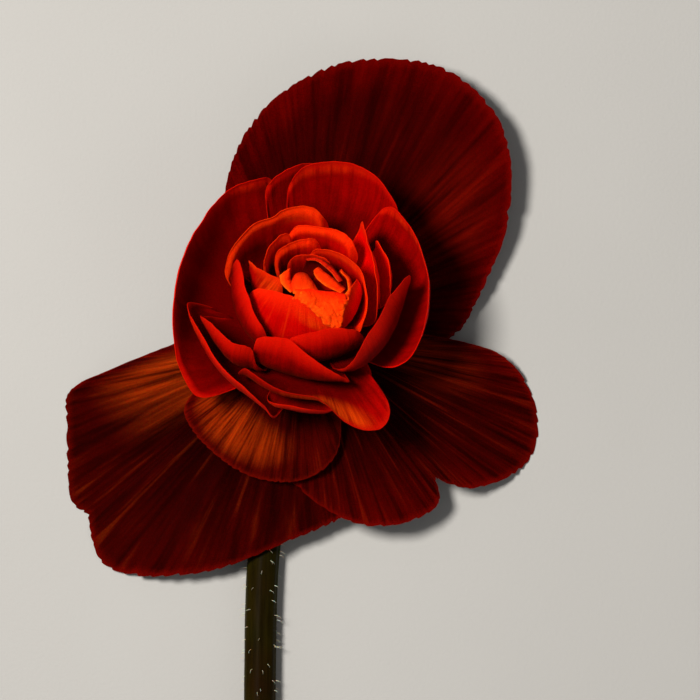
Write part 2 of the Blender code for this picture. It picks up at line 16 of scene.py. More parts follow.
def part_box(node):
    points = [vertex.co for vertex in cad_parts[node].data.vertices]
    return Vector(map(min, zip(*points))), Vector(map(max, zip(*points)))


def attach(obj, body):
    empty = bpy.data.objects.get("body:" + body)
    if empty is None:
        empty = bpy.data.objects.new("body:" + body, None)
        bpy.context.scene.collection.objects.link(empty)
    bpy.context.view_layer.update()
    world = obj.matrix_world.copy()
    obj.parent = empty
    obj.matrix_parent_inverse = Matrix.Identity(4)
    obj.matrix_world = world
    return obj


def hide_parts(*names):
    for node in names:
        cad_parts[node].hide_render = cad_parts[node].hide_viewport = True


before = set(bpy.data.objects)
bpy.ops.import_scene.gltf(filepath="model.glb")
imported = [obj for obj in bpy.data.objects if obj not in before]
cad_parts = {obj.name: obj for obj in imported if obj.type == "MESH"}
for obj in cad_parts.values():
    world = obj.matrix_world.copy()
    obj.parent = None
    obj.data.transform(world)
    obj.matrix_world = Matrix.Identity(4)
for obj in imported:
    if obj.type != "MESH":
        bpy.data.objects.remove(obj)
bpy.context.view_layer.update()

bpy.ops.object.select_all(action="DESELECT")

# The table, the light and the camera. The flower lies on a pale matt table top, a broad soft
# light stands at the upper left with a fill at the right, and the camera looks straight down.
MM = 0.001
stalk_low, stalk_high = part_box("flower_stalk")
FLOWER_PLACE = Vector((stalk_low.x + 12.7 * MM, stalk_low.y + 86.03 * MM, 0))

scene = bpy.context.scene
scene.view_settings.view_transform = "Standard"
scene.view_settings.look = "None"
bpy.ops.object.camera_add(location=FLOWER_PLACE + Vector((0.009, -0.005, 1.02)), rotation=(0, 0, 0))
camera = bpy.context.object
camera.name = "camera_above"
camera.data.sensor_width = 36
camera.data.lens = 36 / 0.14
camera.data.clip_start = 0.02
camera.data.clip_end = 20
scene.camera = camera


def soft_light(name, place, aim, size, watts, colour):
    bpy.ops.object.light_add(type="AREA", location=place)
    light = bpy.context.object
    light.name = name
    light.rotation_euler = (Vector(aim) - Vector(place)).to_track_quat("-Z", "Y").to_euler()
    light.data.shape = "DISK"
    light.data.size = size
    light.data.energy = watts
    light.data.color = colour
    return light


soft_light("key_light", (-0.25, 0.14, 0.66), (0.0, 0.015, 0.03), 0.16, 7.4, (1.0, 0.95, 0.88))
soft_light("fill_light", (0.55, -0.35, 0.55), (0.0, 0.0, 0.02), 0.6, 0.6, (1.0, 0.94, 0.86))
soft_light("top_light", (0.05, 0.1, 1.3), (0.0, 0.0, 0.0), 0.7, 0.7, (1.0, 0.98, 0.95))

world = bpy.data.worlds.new("pale studio")
world.use_nodes = True
world.node_tree.nodes["Background"].inputs["Color"].default_value = (0.90, 0.92, 0.95, 1)
world.node_tree.nodes["Background"].inputs["Strength"].default_value = 0.13
scene.world = world


def new_finish(name, roughness, specular=0.4):
    """A material with its Principled shader, and the tree to build its pattern in."""
    made = bpy.data.materials.new(name)
    made.use_nodes = True
    shader = made.node_tree.nodes["Principled BSDF"]
    shader.inputs["Roughness"].default_value = roughness
    shader.inputs["Specular IOR Level"].default_value = specular
    return made, made.node_tree, shader


def add_node(tree, kind, **settings):
    made = tree.nodes.new(kind)
    for key, value in settings.items():
        if key in made.inputs:
            made.inputs[key].default_value = value
        else:
            setattr(made, key, value)
    return made


def ramp(tree, source, *stops):
    """A colour ramp over source; each stop is (position, colour)."""
    made = tree.nodes.new("ShaderNodeValToRGB")
    made.color_ramp.elements[0].position, made.color_ramp.elements[0].color = stops[0]
    made.color_ramp.elements[1].position, made.color_ramp.elements[1].color = stops[-1]
    for place, colour in stops[1:-1]:
        made.color_ramp.elements.new(place).color = colour
    tree.links.new(source, made.inputs["Fac"])
    return made.outputs["Color"]


def bump(tree, shader, height, strength, distance):
    made = add_node(tree, "ShaderNodeBump", Strength=strength, Distance=distance)
    tree.links.new(height, made.inputs["Height"])
    tree.links.new(made.outputs["Normal"], shader.inputs["Normal"])
    return made


table_paint, tree, shader = new_finish("pale table paint", 0.75, 0.25)
spot = add_node(tree, "ShaderNodeTexCoord")
cloud = add_node(tree, "ShaderNodeTexNoise", Scale=9.0, Detail=4.0)
grit = add_node(tree, "ShaderNodeTexNoise", Scale=1400.0, Detail=2.0)
tree.links.new(spot.outputs["Object"], cloud.inputs["Vector"])
tree.links.new(spot.outputs["Object"], grit.inputs["Vector"])
tree.links.new(
    ramp(tree, cloud.outputs["Fac"], (0.3, (0.385, 0.383, 0.375, 1)), (0.7, (0.41, 0.408, 0.40, 1))),
    shader.inputs["Base Color"],
)
bump(tree, shader, grit.outputs["Fac"], 0.25, 0.0002)
bpy.ops.mesh.primitive_plane_add(size=6, location=(0, 0, -0.00005))
table = bpy.context.object
table.name = "table_top"
table.data.materials.append(table_paint)

# The flower stalk. A fleshy, almost round stem with faint ribs, cut square at its lower end. It
# lies on the table, bends up and swells into the receptacle that all the petals grow on.
BLOOM_LEAN = math.radians(24)
BLOOM_FOOT_HEIGHT = 13.0
STALK_RADIUS = 3.3
STALK_BEND_RADIUS = 9.0
STALK_CUT_END = (-9.4, -86.0)
STALK_MIDDLE = (-8.4, -45.0)
STALK_BEND_START = (-1.2, -10.2)
RECEPTACLE_RADIUS = 6.0
COLUMN_HEIGHT = 17.0
COLUMN_FOOT_RADIUS = 5.4
COLUMN_TIP_RADIUS = 1.0


def smoothstep(x):
    x = min(1.0, max(0.0, x))
    return x * x * (3 - 2 * x)


def through(points, s):
    """The place at s, from 0 to 1, on a smooth curve through the points."""
    last = len(points) - 1
    span = min(last - 1, int(s * last))
    f = s * last - span
    a, b, c, d = (points[min(last, max(0, span + k))] for k in (-1, 0, 1, 2))
    return [
        0.5 * (2 * q + (r - p) * f + (2 * p - 5 * q + 4 * r - w) * f * f + (3 * q - 3 * r + w - p) * f**3)
        for p, q, r, w in zip(a, b, c, d)
    ]


def column_radius(height):
    return COLUMN_FOOT_RADIUS + (COLUMN_TIP_RADIUS - COLUMN_FOOT_RADIUS) * height / COLUMN_HEIGHT


def grid_piece(name, columns, rows, place):
    """A grid whose points place(u, t) puts; its UV map keeps u and t."""
    bpy.ops.mesh.primitive_grid_add(x_subdivisions=columns, y_subdivisions=rows, size=2)
    piece = bpy.context.object
    piece.name = name
    for point in piece.data.vertices:
        point.co = Vector(place((point.co.x + 1) / 2, (point.co.y + 1) / 2)) * MM + FLOWER_PLACE
    return piece


def finish_piece(piece, slot, *nodes):
    bpy.ops.object.shade_smooth_by_angle(angle=math.radians(50))
    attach(piece, "root")
    if nodes:
        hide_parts(*nodes)
    piece.select_set(False)
    return piece


bloom_axis = Vector((0, math.sin(BLOOM_LEAN), math.cos(BLOOM_LEAN)))
bloom_foot = Vector((0, 0, BLOOM_FOOT_HEIGHT))
stalk_turn = math.pi / 2 - BLOOM_LEAN
stalk_top = bloom_foot - bloom_axis * 3.8
bend_climb = STALK_BEND_RADIUS * (1 - math.cos(stalk_turn))
bend_ramp = (stalk_top.z - STALK_RADIUS - bend_climb) / bloom_axis.z
bend_start = Vector((
    STALK_BEND_START[0],
    stalk_top.y - bend_ramp * bloom_axis.y - STALK_BEND_RADIUS * math.sin(stalk_turn),
    STALK_RADIUS,
))
lying = (
    (*STALK_CUT_END, STALK_RADIUS), (*STALK_MIDDLE, STALK_RADIUS),
    tuple(bend_start - Vector((0.9, 9.0, 0))), tuple(bend_start),
)
stations = [(through(lying, k / 14), STALK_RADIUS) for k in range(15)]
for k in range(1, 8):
    turned = stalk_turn * k / 7
    stations.append((
        (
            bend_start.x * (1 - smoothstep(k / 7)),
            bend_start.y + STALK_BEND_RADIUS * math.sin(turned),
            STALK_RADIUS + STALK_BEND_RADIUS * (1 - math.cos(turned)),
        ),
        STALK_RADIUS * (1 + 0.12 * k / 7),
    ))
for height, share in ((-3.3, 0.74), (-2.3, 0.92), (-1.2, 1.0), (0.2, 0.97)):
    stations.append((tuple(bloom_foot + bloom_axis * height), RECEPTACLE_RADIUS * share))
for k in range(7):
    height = 0.9 + (COLUMN_HEIGHT - 0.9) * k / 6
    stations.append((tuple(bloom_foot + bloom_axis * height), column_radius(height)))
stalk_line = [(*place, radius) for place, radius in stations]


def stalk_ring(t):
    """The stalk's middle, radius, side and upper directions at t along it."""
    x, y, z, radius = through(stalk_line, t)
    ahead = Vector(through(stalk_line, min(1.0, t + 0.004))[:3])
    behind = Vector(through(stalk_line, max(0.0, t - 0.004))[:3])
    along = (ahead - behind).normalized()
    side = along.cross(Vector((0, -math.sin(BLOOM_LEAN), 1))).normalized()
    return Vector((x, y, z)), radius, side, side.cross(along).normalized(), along


def stalk_skin(u, t):
    middle, radius, side, up, along = stalk_ring(t)
    a = u * math.tau
    fleshy = 1 - smoothstep((t - 0.62) / 0.1)
    ribs = 0.055 * math.cos(7 * a + 1.3) + 0.03 * math.cos(13 * a + 9 * t)
    lumps = 0.10 * noise.noise(Vector((3 * math.cos(a), 3 * math.sin(a), 34 * t)))
    radius += fleshy * (min(0.0, ribs - 0.05) + min(0.0, lumps))
    place = middle + side * radius * math.sin(a) + up * radius * math.cos(a)
    if place.z < 0.35:
        place.z = max(0.0, place.z * 0.15)
    return place


stalk = grid_piece("fleshy_stalk", 56, 300, stalk_skin)
shape = bmesh.new()
shape.from_mesh(stalk.data)
bmesh.ops.remove_doubles(shape, verts=shape.verts[:], dist=0.00001)
ends = [edge for edge in shape.edges if edge.is_boundary]
bmesh.ops.holes_fill(shape, edges=ends, sides=0)
bmesh.ops.recalc_face_normals(shape, faces=shape.faces[:])
for face in shape.faces:
    if len(face.verts) > 4:
        for corner in face.loops:
            corner[shape.loops.layers.uv.active].uv = (0.5, 0.0)
shape.to_mesh(stalk.data)
shape.free()

stalk_flesh, tree, shader = new_finish("stalk flesh", 0.48, 0.02)
shader.inputs["Subsurface Weight"].default_value = 0.15
shader.inputs["Subsurface Radius"].default_value = (0.9, 0.6, 0.2)
shader.inputs["Subsurface Scale"].default_value = 0.0015
grown = add_node(tree, "ShaderNodeUVMap")
parts = add_node(tree, "ShaderNodeSeparateXYZ")
tree.links.new(grown.outputs["UV"], parts.inputs["Vector"])
spot = add_node(tree, "ShaderNodeTexCoord")
stretched = add_node(tree, "ShaderNodeMapping")
stretched.inputs["Scale"].default_value = (1600, 110, 1600)
tree.links.new(spot.outputs["Object"], stretched.inputs["Vector"])
streaks = add_node(tree, "ShaderNodeTexNoise", Scale=1.0, Detail=3.0)
tree.links.new(stretched.outputs["Vector"], streaks.inputs["Vector"])
blush = add_node(tree, "ShaderNodeTexNoise", Scale=90.0, Detail=2.0)
tree.links.new(spot.outputs["Object"], blush.inputs["Vector"])
pores = add_node(tree, "ShaderNodeTexVoronoi", Scale=2600.0)
tree.links.new(spot.outputs["Object"], pores.inputs["Vector"])
climb = add_node(tree, "ShaderNodeMath", operation="MULTIPLY_ADD")
climb.inputs[1].default_value = 0.35
tree.links.new(blush.outputs["Fac"], climb.inputs[0])
tree.links.new(parts.outputs["Y"], climb.inputs[2])
along_colour = ramp(
    tree, climb.outputs[0],
    (0.12, (0.016, 0.0052, 0.0005, 1)), (0.32, (0.015, 0.0130, 0.0005, 1)), (0.50, (0.013, 0.0180, 0.0005, 1)),
    (0.72, (0.013, 0.0190, 0.0005, 1)), (0.95, (0.028, 0.022, 0.002, 1)),
)
streaky = add_node(tree, "ShaderNodeMix", data_type="RGBA", blend_type="MULTIPLY")
streaky.inputs["Factor"].default_value = 1.0
tree.links.new(along_colour, streaky.inputs["A"])
tree.links.new(
    ramp(tree, streaks.outputs["Fac"], (0.3, (0.62, 0.60, 0.55, 1)), (0.7, (1.15, 1.15, 1.1, 1))), streaky.inputs["B"]
)
around = add_node(tree, "ShaderNodeMath", operation="PINGPONG")
around.inputs[1].default_value = 0.5
tree.links.new(parts.outputs["X"], around.inputs[0])
greener = add_node(tree, "ShaderNodeMix", data_type="RGBA", blend_type="MULTIPLY")
greener.inputs["Factor"].default_value = 1.0
tree.links.new(streaky.outputs["Result"], greener.inputs["A"])
tree.links.new(
    ramp(tree, around.outputs[0], (0.02, (0.66, 0.52, 0.6, 1)), (0.14, (0.80, 0.76, 0.7, 1)), (0.23, (1.5, 1.7, 0.9, 1))),
    greener.inputs["B"],
)
tree.links.new(greener.outputs["Result"], shader.inputs["Base Color"])
tree.links.new(
    ramp(tree, pores.outputs["Distance"], (0.0, (0.36, 0.36, 0.36, 1)), (0.8, (0.52, 0.52, 0.52, 1))),
    shader.inputs["Roughness"],
)
bump(tree, shader, streaks.outputs["Fac"], 0.35, 0.00012)
stalk.data.materials.append(stalk_flesh)
bpy.context.view_layer.objects.active = stalk
stalk.select_set(True)
finish_piece(stalk, "stalk", "flower_stalk")

# The stalk's hairs. Sparse soft hairs of clear cells, each a little taper that leaves the skin
# square and hooks towards the cut end.
HAIR_LENGTH = 1.9
HAIR_RADIUS = 0.075
HAIR_COUNT = 340
bpy.ops.mesh.primitive_cone_add(vertices=5, radius1=HAIR_RADIUS * MM, radius2=0.012 * MM, depth=HAIR_LENGTH * MM)
hair = bpy.context.object
bpy.ops.object.mode_set(mode="EDIT")
bpy.ops.mesh.select_all(action="SELECT")
bpy.ops.transform.translate(value=(0, 0, HAIR_LENGTH * MM / 2))
bpy.ops.object.mode_set(mode="OBJECT")
one_hair = bmesh.new()
one_hair.from_mesh(hair.data)
long_edges = [edge for edge in one_hair.edges if abs(edge.verts[0].co.z - edge.verts[1].co.z) > 0.5 * HAIR_LENGTH * MM]
bmesh.ops.subdivide_edges(one_hair, edges=long_edges, cuts=4, use_grid_fill=True)
hair_mesh = bpy.data.meshes.new("one hair")
one_hair.to_mesh(hair_mesh)
one_hair.free()
chance = random.Random(11)
all_hairs = bmesh.new()
for _ in range(HAIR_COUNT):
    t = 0.005 + 0.54 * chance.random()
    a = math.radians(chance.choice((-1, 1)) * 112 * (1 - chance.random() ** 1.7))
    size = 0.55 + 0.5 * chance.random()
    hook = 0.35 + 0.55 * chance.random()
    sway = chance.uniform(-0.35, 0.35)
    middle, radius, side, up, along = stalk_ring(t)
    out = (side * math.sin(a) + up * math.cos(a)).normalized()
    across = along.cross(out).normalized()
    first = len(all_hairs.verts)
    all_hairs.from_mesh(hair_mesh)
    all_hairs.verts.ensure_lookup_table()
    for point in all_hairs.verts[first:]:
        x, y, z = point.co / MM
        reach = z / HAIR_LENGTH
        z, x = z * size * (1 - 0.25 * hook * reach), x + sway * reach * reach
        y -= hook * reach * reach * 0.9
        root = middle + out * (radius - 0.16)
        point.co = (root + across * x + along * y + out * z) * MM + FLOWER_PLACE
bpy.data.meshes.remove(hair_mesh)
all_hairs.to_mesh(hair.data)
all_hairs.free()
hair.name = "stalk_hairs"
hair.location = (0, 0, 0)
hair_clear, tree, shader = new_finish("clear hair cells", 0.28, 0.5)
shader.inputs["Subsurface Weight"].default_value = 0.5
shader.inputs["Subsurface Scale"].default_value = 0.001
spot = add_node(tree, "ShaderNodeTexCoord")
cells = add_node(tree, "ShaderNodeTexNoise", Scale=700.0, Detail=2.0)
tree.links.new(spot.outputs["Object"], cells.inputs["Vector"])
tree.links.new(
    ramp(tree, cells.outputs["Fac"], (0.35, (0.42, 0.34, 0.22, 1)), (0.65, (0.72, 0.66, 0.52, 1))),
    shader.inputs["Base Color"],
)
hair.data.materials.append(hair_clear)
finish_piece(hair, "stalk")

# The four outer tepals. Broad, thin, velvety leaves of deep crimson, painted darker than their own red as painted
# shade,
# that grow from below the bloom: their flesh is folded in fine ribs that fan from the foot, and their rims are toothed.
PETAL_GAP = 0.35
PETAL_WALL = 0.40
PETAL_RIM_WALL = 0.10


def bezier(a, b, c, d, t):
    """The place at t on the cubic curve from a to d that leans towards b and c."""
    k = 1 - t
    return [
        k**3 * p + 3 * k * k * t * q + 3 * k * t * t * r + t**3 * w
        for p, q, r, w in zip(a, b, c, d)
    ]


def polar(azimuth, radius, height):
    """A place from its azimuth in degrees and its radius and height."""
    a = math.radians(azimuth)
    return Vector((radius * math.cos(a), radius * math.sin(a), height))


def rests(height, softness=1.5):
    """A height that never drops below the table that the flower lies on."""
    if height >= softness:
        return height
    if height <= -softness:
        return 0.0
    return (height + softness) ** 2 / (4 * softness)


def folds(u, t, count, seed):
    """Irregular folds that run out along a petal, from -1 to 1."""
    wander = 0.03 * noise.noise(Vector((3 * u, 3 * t, seed)))
    wide = noise.noise(Vector(((u + wander) * count, 1.1 * t, seed + 3.7)))
    fine = noise.noise(Vector(((u + wander) * count * 2.3, 2.0 * t, seed + 9.1)))
    return wide + 0.45 * fine


def teeth(u, count, depth, seed):
    """How far the rim is cut back at u: small uneven teeth, each leaning one way."""
    s = u * count + 0.8 * noise.noise(Vector((u * count * 0.37, 0.2, seed)))
    bite = (s - math.floor(s)) ** 1.6
    uneven = 0.50 + 0.80 * noise.noise(Vector((u * count * 0.9, 4.4, seed)))
    scallop = 0.6 * noise.noise(Vector((u * count * 0.16, 7.7, seed)))
    return depth * (bite * uneven + scallop)


lean = Matrix.Translation((0, 0, BLOOM_FOOT_HEIGHT)) @ Matrix.Rotation(-BLOOM_LEAN, 4, "X")


def flesh_out(petal, slot, node, finish):
    """Gives a petal's sheet its wall, thinner at the rim, and its finish."""
    fleshy = petal.vertex_groups.new(name="fleshy")
    layer = petal.data.uv_layers.active.data
    for loop in petal.data.loops:
        t = layer[loop.index].uv.y
        fleshy.add([loop.vertex_index], 1 - smoothstep((t - 0.3) / 0.7), "REPLACE")
    wall = petal.modifiers.new("wall", "SOLIDIFY")
    wall.thickness = PETAL_WALL * MM
    wall.offset = -1
    wall.vertex_group = "fleshy"
    wall.thickness_vertex_group = PETAL_RIM_WALL / PETAL_WALL
    bpy.ops.object.modifier_apply(modifier="wall")
    petal.vertex_groups.clear()
    petal.data.materials.append(finish)
    return finish_piece(petal, slot, node)


def petal_pattern():
    """The pigment, painted light and relief of a petal: ribs that fan from its foot, cells, a paler rim that is partly
    painted highlight, painted shade towards the foot and in the rib grooves, and a painted highlight patch and crests.
    """
    group = bpy.data.node_groups.new("petal pattern", "ShaderNodeTree")
    for socket, kind in (
        ("Deep", "NodeSocketColor"), ("Body", "NodeSocketColor"), ("Rim", "NodeSocketColor"),
        ("Ribs", "NodeSocketFloat"), ("Groove shade", "NodeSocketFloat"), ("Foot", "NodeSocketFloat"),
        ("Full", "NodeSocketFloat"), ("Rim from", "NodeSocketFloat"), ("Painted highlight", "NodeSocketColor"),
        ("Glow across", "NodeSocketFloat"), ("Glow along", "NodeSocketFloat"),
        ("Glow width", "NodeSocketFloat"), ("Glow length", "NodeSocketFloat"), ("Crest highlight", "NodeSocketFloat"),
    ):
        group.interface.new_socket(socket, in_out="INPUT", socket_type=kind)
    for socket, kind in (("Color", "NodeSocketColor"), ("Roughness", "NodeSocketFloat"), ("Height", "NodeSocketFloat")):
        group.interface.new_socket(socket, in_out="OUTPUT", socket_type=kind)
    given = group.nodes.new("NodeGroupInput")
    put = group.nodes.new("NodeGroupOutput")

    def link(source, target):
        group.links.new(source, target)

    def sum_of(operation, first, second, third=None):
        made = add_node(group, "ShaderNodeMath", operation=operation)
        for socket, value in zip(made.inputs, (first, second, third)):
            if value is None:
                continue
            if isinstance(value, (int, float)):
                socket.default_value = value
            else:
                link(value, socket)
        return made.outputs[0]

    def span(value, low, high):
        made = add_node(group, "ShaderNodeMapRange", interpolation_type="SMOOTHSTEP")
        link(value, made.inputs["Value"])
        for key, end in (("From Min", low), ("From Max", high)):
            if isinstance(end, (int, float)):
                made.inputs[key].default_value = end
            else:
                link(end, made.inputs[key])
        return made.outputs["Result"]

    def blend(factor, first, second, kind="MIX"):
        made = add_node(group, "ShaderNodeMix", data_type="RGBA", blend_type=kind)
        for key, value in (("Factor", factor), ("A", first), ("B", second)):
            socket = made.inputs[key] if key == "Factor" else [s for s in made.inputs if s.name == key and s.type == "RGBA"][0]
            if isinstance(value, (int, float)):
                socket.default_value = value
            else:
                link(value, socket)
        return [s for s in made.outputs if s.type == "RGBA"][0]

    across = add_node(group, "ShaderNodeSeparateXYZ")
    link(add_node(group, "ShaderNodeUVMap").outputs["UV"], across.inputs["Vector"])
    u, t = across.outputs["X"], across.outputs["Y"]
    spot = add_node(group, "ShaderNodeTexCoord").outputs["Object"]

    def grain(scale, detail):
        made = add_node(group, "ShaderNodeTexNoise", Scale=scale, Detail=detail)
        link(spot, made.inputs["Vector"])
        return made.outputs["Fac"]

    def ribs(times, run, detail):
        place = add_node(group, "ShaderNodeCombineXYZ")
        link(sum_of("MULTIPLY", sum_of("MULTIPLY", u, given.outputs["Ribs"]), times), place.inputs["X"])
        link(sum_of("MULTIPLY", t, run), place.inputs["Y"])
        made = add_node(group, "ShaderNodeTexNoise", Scale=1.0, Detail=detail)
        link(place.outputs["Vector"], made.inputs["Vector"])
        return made.outputs["Fac"]

    wide, fine = ribs(1.0, 1.3, 2.0), ribs(3.1, 2.8, 3.0)
    blotch, crepe, speckle = grain(240.0, 3.0), grain(1300.0, 3.0), grain(5200.0, 1.0)
    # Deep at the foot, full colour outwards: partly the petal's own deeper base, partly painted shade where the bloom
    # shades its inner parts.
    level = sum_of("MULTIPLY_ADD", blotch, 0.30, sum_of("MULTIPLY_ADD", wide, 0.30, sum_of("SUBTRACT", t, 0.30)))
    colour = blend(span(level, given.outputs["Foot"], given.outputs["Full"]), given.outputs["Deep"], given.outputs["Body"])
    # Painted shade: the grooves between the ribs are darkened towards the deep colour.
    groove_shade_mask = sum_of("MULTIPLY", span(sum_of("MULTIPLY_ADD", fine, 0.5, sum_of("MULTIPLY", wide, 0.5)), 0.56, 0.36), given.outputs["Groove shade"])
    colour = blend(groove_shade_mask, colour, given.outputs["Deep"])
    # Painted highlight: a pale oval patch across and along the petal, broken by its streaks, where light falls
    # brightest on it.
    aside = sum_of("DIVIDE", sum_of("SUBTRACT", u, given.outputs["Glow across"]), given.outputs["Glow width"])
    beyond = sum_of("DIVIDE", sum_of("SUBTRACT", t, given.outputs["Glow along"]), given.outputs["Glow length"])
    away = sum_of("MULTIPLY_ADD", aside, aside, sum_of("MULTIPLY", beyond, beyond))
    streaks = sum_of("MULTIPLY_ADD", fine, 0.45, sum_of("MULTIPLY", wide, 0.55))
    # Painted highlight on the crests of the ribs, away from the foot.
    crest_highlight = sum_of("MULTIPLY", sum_of("MULTIPLY", span(streaks, 0.53, 0.66), span(t, 0.15, 0.45)), given.outputs["Crest highlight"])
    pale = sum_of("MULTIPLY_ADD", span(away, 1.0, 0.0), span(streaks, 0.32, 0.68), crest_highlight)
    colour = blend(pale, colour, given.outputs["Painted highlight"])
    # A paler rim: partly its own tint, partly a painted highlight where the rim catches the light.
    lip = span(sum_of("MULTIPLY_ADD", fine, 0.04, t), given.outputs["Rim from"], 1.03)
    colour = blend(lip, colour, given.outputs["Rim"])
    dust = add_node(group, "ShaderNodeMapRange")
    link(speckle, dust.inputs["Value"])
    for key, value in (("From Min", 0.3), ("From Max", 0.7), ("To Min", 0.86), ("To Max", 1.12)):
        dust.inputs[key].default_value = value
    grey = add_node(group, "ShaderNodeCombineColor")
    for key in ("Red", "Green", "Blue"):
        link(dust.outputs["Result"], grey.inputs[key])
    link(blend(1.0, colour, grey.outputs["Color"], "MULTIPLY"), put.inputs["Color"])
    link(sum_of("MULTIPLY_ADD", speckle, 0.22, sum_of("MULTIPLY_ADD", fine, 0.12, 0.42)), put.inputs["Roughness"])
    cells = sum_of("MULTIPLY_ADD", crepe, 0.30, sum_of("MULTIPLY", speckle, 0.10))
    relief = sum_of("MULTIPLY_ADD", wide, 0.55, sum_of("MULTIPLY_ADD", fine, 0.35, cells))
    link(relief, put.inputs["Height"])
    return group


pattern = petal_pattern()


def petal_finish(
    name, deep, body, rim, ribs, groove_shade=0.5, foot=0.1, full=0.8, rim_from=0.97, relief=0.00022,
    painted_highlight=(0, 0, 0), painted_highlight_at=(0.5, 9.0, 0.1, 0.1), crest_highlight=0.0,
):
    """A petal's material: translucent, satiny flesh with a velvet bloom on it.

    glow, painted_highlight_at: the colour of its painted highlight patch, and where that lies across and along it.
    ridges: how much of that painted highlight the crests of its ribs take.
    """
    made, tree, shader = new_finish(name, 0.5, 0.015)
    shader.inputs["Subsurface Weight"].default_value = 0.40
    shader.inputs["Subsurface Radius"].default_value = (1.0, 0.12, 0.04)
    shader.inputs["Subsurface Scale"].default_value = 0.0018
    shader.inputs["Sheen Weight"].default_value = 0.03
    shader.inputs["Sheen Roughness"].default_value = 0.35
    shader.inputs["Sheen Tint"].default_value = (1.0, 0.12, 0.03, 1)
    shader.inputs["Specular Tint"].default_value = (1.0, 0.10, 0.03, 1)
    look = add_node(tree, "ShaderNodeGroup")
    look.node_tree = pattern
    for key, value in (
        ("Deep", (*deep, 1)), ("Body", (*body, 1)), ("Rim", (*rim, 1)), ("Ribs", ribs), ("Groove shade", groove_shade),
        ("Foot", foot), ("Full", full), ("Rim from", rim_from), ("Painted highlight", (*painted_highlight, 1)), ("Glow across", painted_highlight_at[0]),
        ("Glow along", painted_highlight_at[1]), ("Glow width", painted_highlight_at[2]), ("Glow length", painted_highlight_at[3]), ("Crest highlight", crest_highlight),
    ):
        look.inputs[key].default_value = value
    tree.links.new(look.outputs["Color"], shader.inputs["Base Color"])
    tree.links.new(look.outputs["Roughness"], shader.inputs["Roughness"])
    bump(tree, shader, look.outputs["Height"], 0.8, relief)
    return made


def tepal(
    name, outline, foot, rise, droop, finish, spread=0.5, columns=220, rows=44, pleats=(0, 0),
    fold_count=22, fold_depth=0.3, tooth_count=70, tooth_depth=0.5, seed=1.0,
):
    """A large spread tepal.

    outline: its edge as (azimuth, radius, height), from one side of the foot round to the other.
    foot: the height in the bloom's frame that it grows from.
    rise, droop: how far its ribs lean up from the foot, and above the rim, as (first side, middle, last side).
    pleats: how many shallow folds run out along it, and how deep they are.
    """
    middle = (outline[0][0] + outline[-1][0]) / 2
    foot_radius = RECEPTACLE_RADIUS + PETAL_GAP

    def place(u, t):
        azimuth, radius, height = through(outline, u)
        radius -= max(-0.2, teeth(u, tooth_count, tooth_depth, seed)) * smoothstep((0.5 - abs(u - 0.5)) / 0.06)
        start = lean @ polar(middle + (azimuth - middle) * spread, foot_radius, foot)
        end = polar(azimuth, radius, height)
        way = end - start
        first = start + way * 0.3
        first.z = start.z + through([(v,) for v in rise], u)[0]
        second = start + way * 0.72
        second.z = end.z + through([(v,) for v in droop], u)[0]
        x, y, z = bezier(start, first, second, end, t)
        count, depth = pleats
        z += depth * math.sin(u * math.tau * count) * smoothstep(t / 0.4) * (1 - 0.4 * t)
        z += fold_depth * folds(u, t, fold_count, seed) * smoothstep(t / 0.3)
        z += 0.35 * noise.noise(Vector((x * 0.09, y * 0.09, seed))) * smoothstep(t / 0.5)
        return x, y, rests(z)

    petal = grid_piece(f"soft_{name}", columns, rows, place)
    return flesh_out(petal, "tepal", name, finish)


# Each tepal's finish is darker towards its foot as painted shade of the bloom, and carries a painted highlight patch
# and painted highlights on its rib crests.
tepal(
    "outer_tepal_top",
    outline=(
        (-16, 15, 7.5), (-10, 25, 4.5), (-3, 31, 4.0), (8, 35, 4.5), (19, 41, 6.5), (30, 48, 8.5),
        (41, 54.5, 9.5), (51, 58.5, 9.5), (61, 59.2, 9.5), (71, 57, 9.0), (81, 54.2, 8.5),
        (91, 49.8, 8.0), (101, 44.8, 7.5), (111, 38.6, 7.0), (122, 31, 6.5), (132, 23.5, 6.5),
        (139, 15, 7.5),
    ),
    foot=-2.7, rise=(-2.0, -5.0, -2.0), droop=(-3.0, -22.0, -4.0),
      pleats=(6, 0.35),
    finish=petal_finish(
        "top tepal crimson", (0.009, 0.0002, 0.0002), (0.040, 0.0003, 0.0003), (0.080, 0.0010, 0.0004), 34, 0.70,
        foot=0.15, full=0.95, relief=0.0007, painted_highlight=(0.100, 0.0020, 0.0004), painted_highlight_at=(0.34, 0.58, 0.15, 0.40), crest_highlight=0.35,
    ),
    fold_count=12, fold_depth=0.8, tooth_count=76, tooth_depth=0.95, seed=2.3,
)
tepal(
    "outer_tepal_left",
    outline=(
        (181, 16, 11.5), (188, 27, 8.0), (192, 38, 3.5), (194.3, 47.5, 0.0), (197, 51.2, -1.5),
        (203, 53.2, -2.0), (211, 57.0, -2.0), (217, 59.8, -1.6), (221, 59.2, -0.6),
        (225, 61.8, -0.2), (230, 63.8, 1.2), (236, 61.4, 3.2), (243, 56.8, 5.2), (250, 52.6, 7.0),
        (258, 47.6, 8.0), (266, 43.6, 8.2), (274, 41.2, 8.4), (281, 39.4, 8.4), (288, 33, 10.0),
        (294, 22, 12.0),
    ),
    foot=-1.7, rise=(0.0, 0.5, -1.2), droop=(4.0, 4.0, 1.0),
      pleats=(7, 0.4),
    finish=petal_finish(
        "left tepal crimson", (0.007, 0.0002, 0.0002), (0.036, 0.0005, 0.0003), (0.080, 0.0012, 0.0004), 26, 0.80,
        foot=0.20, full=1.0, relief=0.0011, painted_highlight=(0.270, 0.0230, 0.0012), painted_highlight_at=(0.14, 0.36, 0.26, 0.58), crest_highlight=0.22,
    ),
    columns=260, fold_count=12, fold_depth=2.1, tooth_count=52, tooth_depth=0.7, seed=5.1,
)
